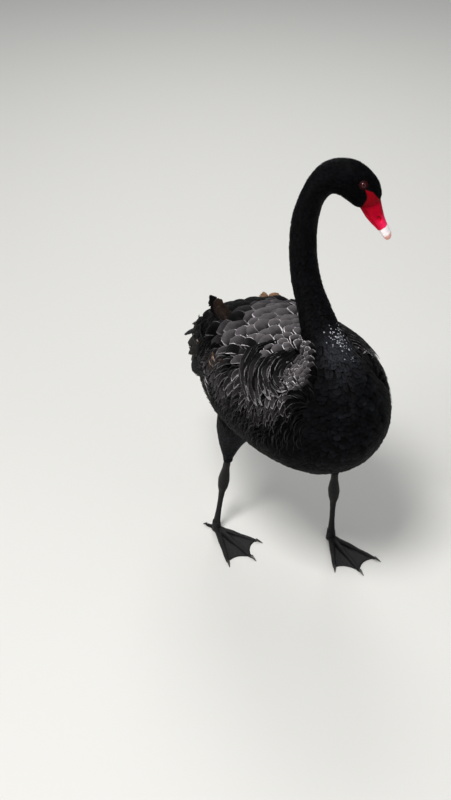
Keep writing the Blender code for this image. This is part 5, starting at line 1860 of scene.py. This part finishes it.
    def foot(self, side, sag):
        """A foot as one closed skin, and its claws."""
        leg = LEGS[side]
        joint = place(*leg["joint"])
        ground = np.array([joint[0], joint[1], 0.0])
        outward_by = 1 if side == "left" else -1
        pieces, claws, reaches = [], [], []
        for i, (turn, length, width) in enumerate(TOES):
            heading = leg["toe_turn"] + turn * outward_by
            direction = np.array([math.sin(heading), -math.cos(heading), 0.0])
            pieces.append(self.toe("toe", ground, direction, length, width))
            claws.append(self.claw("claw", ground + direction * length, direction,
                                   CLAW_LENGTH))
            reaches.append(direction * length)
        for one, other in ((0, 1), (1, 2)):
            pieces.append(self.web("web", ground, reaches[one], reaches[other], sag))
        heading = leg["toe_turn"] - outward_by * 0.35
        back = -np.array([math.sin(heading), -math.cos(heading), 0.0])
        pieces.append(self.toe("hind toe", ground, back, HALLUX_LENGTH, 0.009))
        claws.append(self.claw("claw", ground + back * HALLUX_LENGTH, back, 0.007))
        rings = []
        for t in np.linspace(0, 1, 16):
            centre = ground * (1 - t) + (joint + np.array([0, 0, 0.004])) * t
            wide, deep = 0.0092 - 0.0018 * t, 0.0106 - 0.0020 * t
            rings.append([centre + np.array([wide * math.cos(a), deep * math.sin(a),
                                             0.001 * (1 - t)])
                          for a in np.linspace(0, 2 * math.pi, 32, endpoint=False)])
        base = loft("foot_skin_" + side, rings)
        for piece in pieces:
            cut = base.modifiers.new("join", "BOOLEAN")
            cut.operation, cut.solver, cut.object = "UNION", "MANIFOLD", piece
        as_mesh(base)
        for piece in pieces:
            bpy.data.objects.remove(piece, do_unlink=True)
        base.data.shade_smooth()
        return base, join("claws_" + side, claws)


# Stage

class SWAN_OT_stage(bpy.types.Operator):
    """Pale floor, soft studio lights and the photograph's camera"""
    bl_idname = "swan.stage"
    bl_label = "Stage"

    def execute(self, context):
        stage = context.scene.swan_stage
        half = 6.0
        floor = mesh_object("floor", [(-half, -half, 0), (half, -half, 0), (half, half, 0),
                                      (-half, half, 0)], [(0, 1, 2, 3)], False)
        made = bpy.data.materials.new("matt_floor")
        made.use_nodes = True
        shader = made.node_tree.nodes["Principled BSDF"]
        shader.inputs["Base Color"].default_value = colour(stage.floor)
        shader.inputs["Roughness"].default_value = 0.8
        floor.data.materials.append(made)
        world = bpy.data.worlds.new("studio")
        world.use_nodes = True
        world.node_tree.nodes["Background"].inputs["Color"].default_value = (0.9, 0.95, 1.0, 1)
        world.node_tree.nodes["Background"].inputs["Strength"].default_value = 0.32
        context.scene.world = world
        middle = Vector((0, 0, 0.4))
        for name, place, size, power in (("key", (-1.3, -0.6, 3.0), 1.0, 100.0),
                                         ("fill", (0.6, -2.7, 1.6), 2.0, 14.0),
                                         ("rim", (1.2, 1.9, 2.3), 1.2, 32.0)):
            data = bpy.data.lights.new(name, "AREA")
            data.energy = power
            data.size = size
            lamp = bpy.data.objects.new(name, data)
            lamp.location = place
            lamp.rotation_euler = (middle - Vector(place)).to_track_quat("-Z", "Y").to_euler()
            context.scene.collection.objects.link(lamp)
        data = bpy.data.cameras.new("photo camera")
        data.sensor_width = 36.0
        data.lens = stage.lens
        camera = bpy.data.objects.new("photo camera", data)
        camera.location = Vector((-1.210, -1.603, 1.668)) + Vector(STAND)
        look = Vector((0.458, 0.679, -0.574))
        camera.rotation_euler = look.to_track_quat("-Z", "Y").to_euler()
        context.scene.collection.objects.link(camera)
        context.scene.camera = camera
        context.scene.view_settings.view_transform = "Standard"
        return {"FINISHED"}


OPERATORS = (SWAN_OT_stage, SWAN_OT_skin, SWAN_OT_eyes, SWAN_OT_bill, SWAN_OT_legs,
             SWAN_OT_body_feathers, SWAN_OT_wing_feathers)


class SWAN_PT_panel(bpy.types.Panel):
    """Buttons for each piece of the swan"""
    bl_idname = "SWAN_PT_panel"
    bl_label = "Black swan"
    bl_space_type = "VIEW_3D"
    bl_region_type = "UI"
    bl_category = "Swan"

    def draw(self, context):
        for operator in OPERATORS:
            self.layout.operator(operator.bl_idname)


CLASSES = SETTINGS + OPERATORS + (SWAN_PT_panel,)


def register():
    """Register the classes and the scene's settings."""
    for made in CLASSES:
        bpy.utils.register_class(made)
    bpy.types.Scene.swan_coat = bpy.props.PointerProperty(type=CoatSettings)
    bpy.types.Scene.swan_bill = bpy.props.PointerProperty(type=BillSettings)
    bpy.types.Scene.swan_legs = bpy.props.PointerProperty(type=LegSettings)
    bpy.types.Scene.swan_stage = bpy.props.PointerProperty(type=StageSettings)


def unregister():
    """Remove what register adds."""
    del bpy.types.Scene.swan_stage
    del bpy.types.Scene.swan_legs
    del bpy.types.Scene.swan_bill
    del bpy.types.Scene.swan_coat
    for made in reversed(CLASSES):
        bpy.utils.unregister_class(made)


def main():
    """Build every piece."""
    register()
    for operator in OPERATORS:
        group, name = operator.bl_idname.split(".")
        getattr(getattr(bpy.ops, group), name)()


if __name__ == "__main__":
    main()
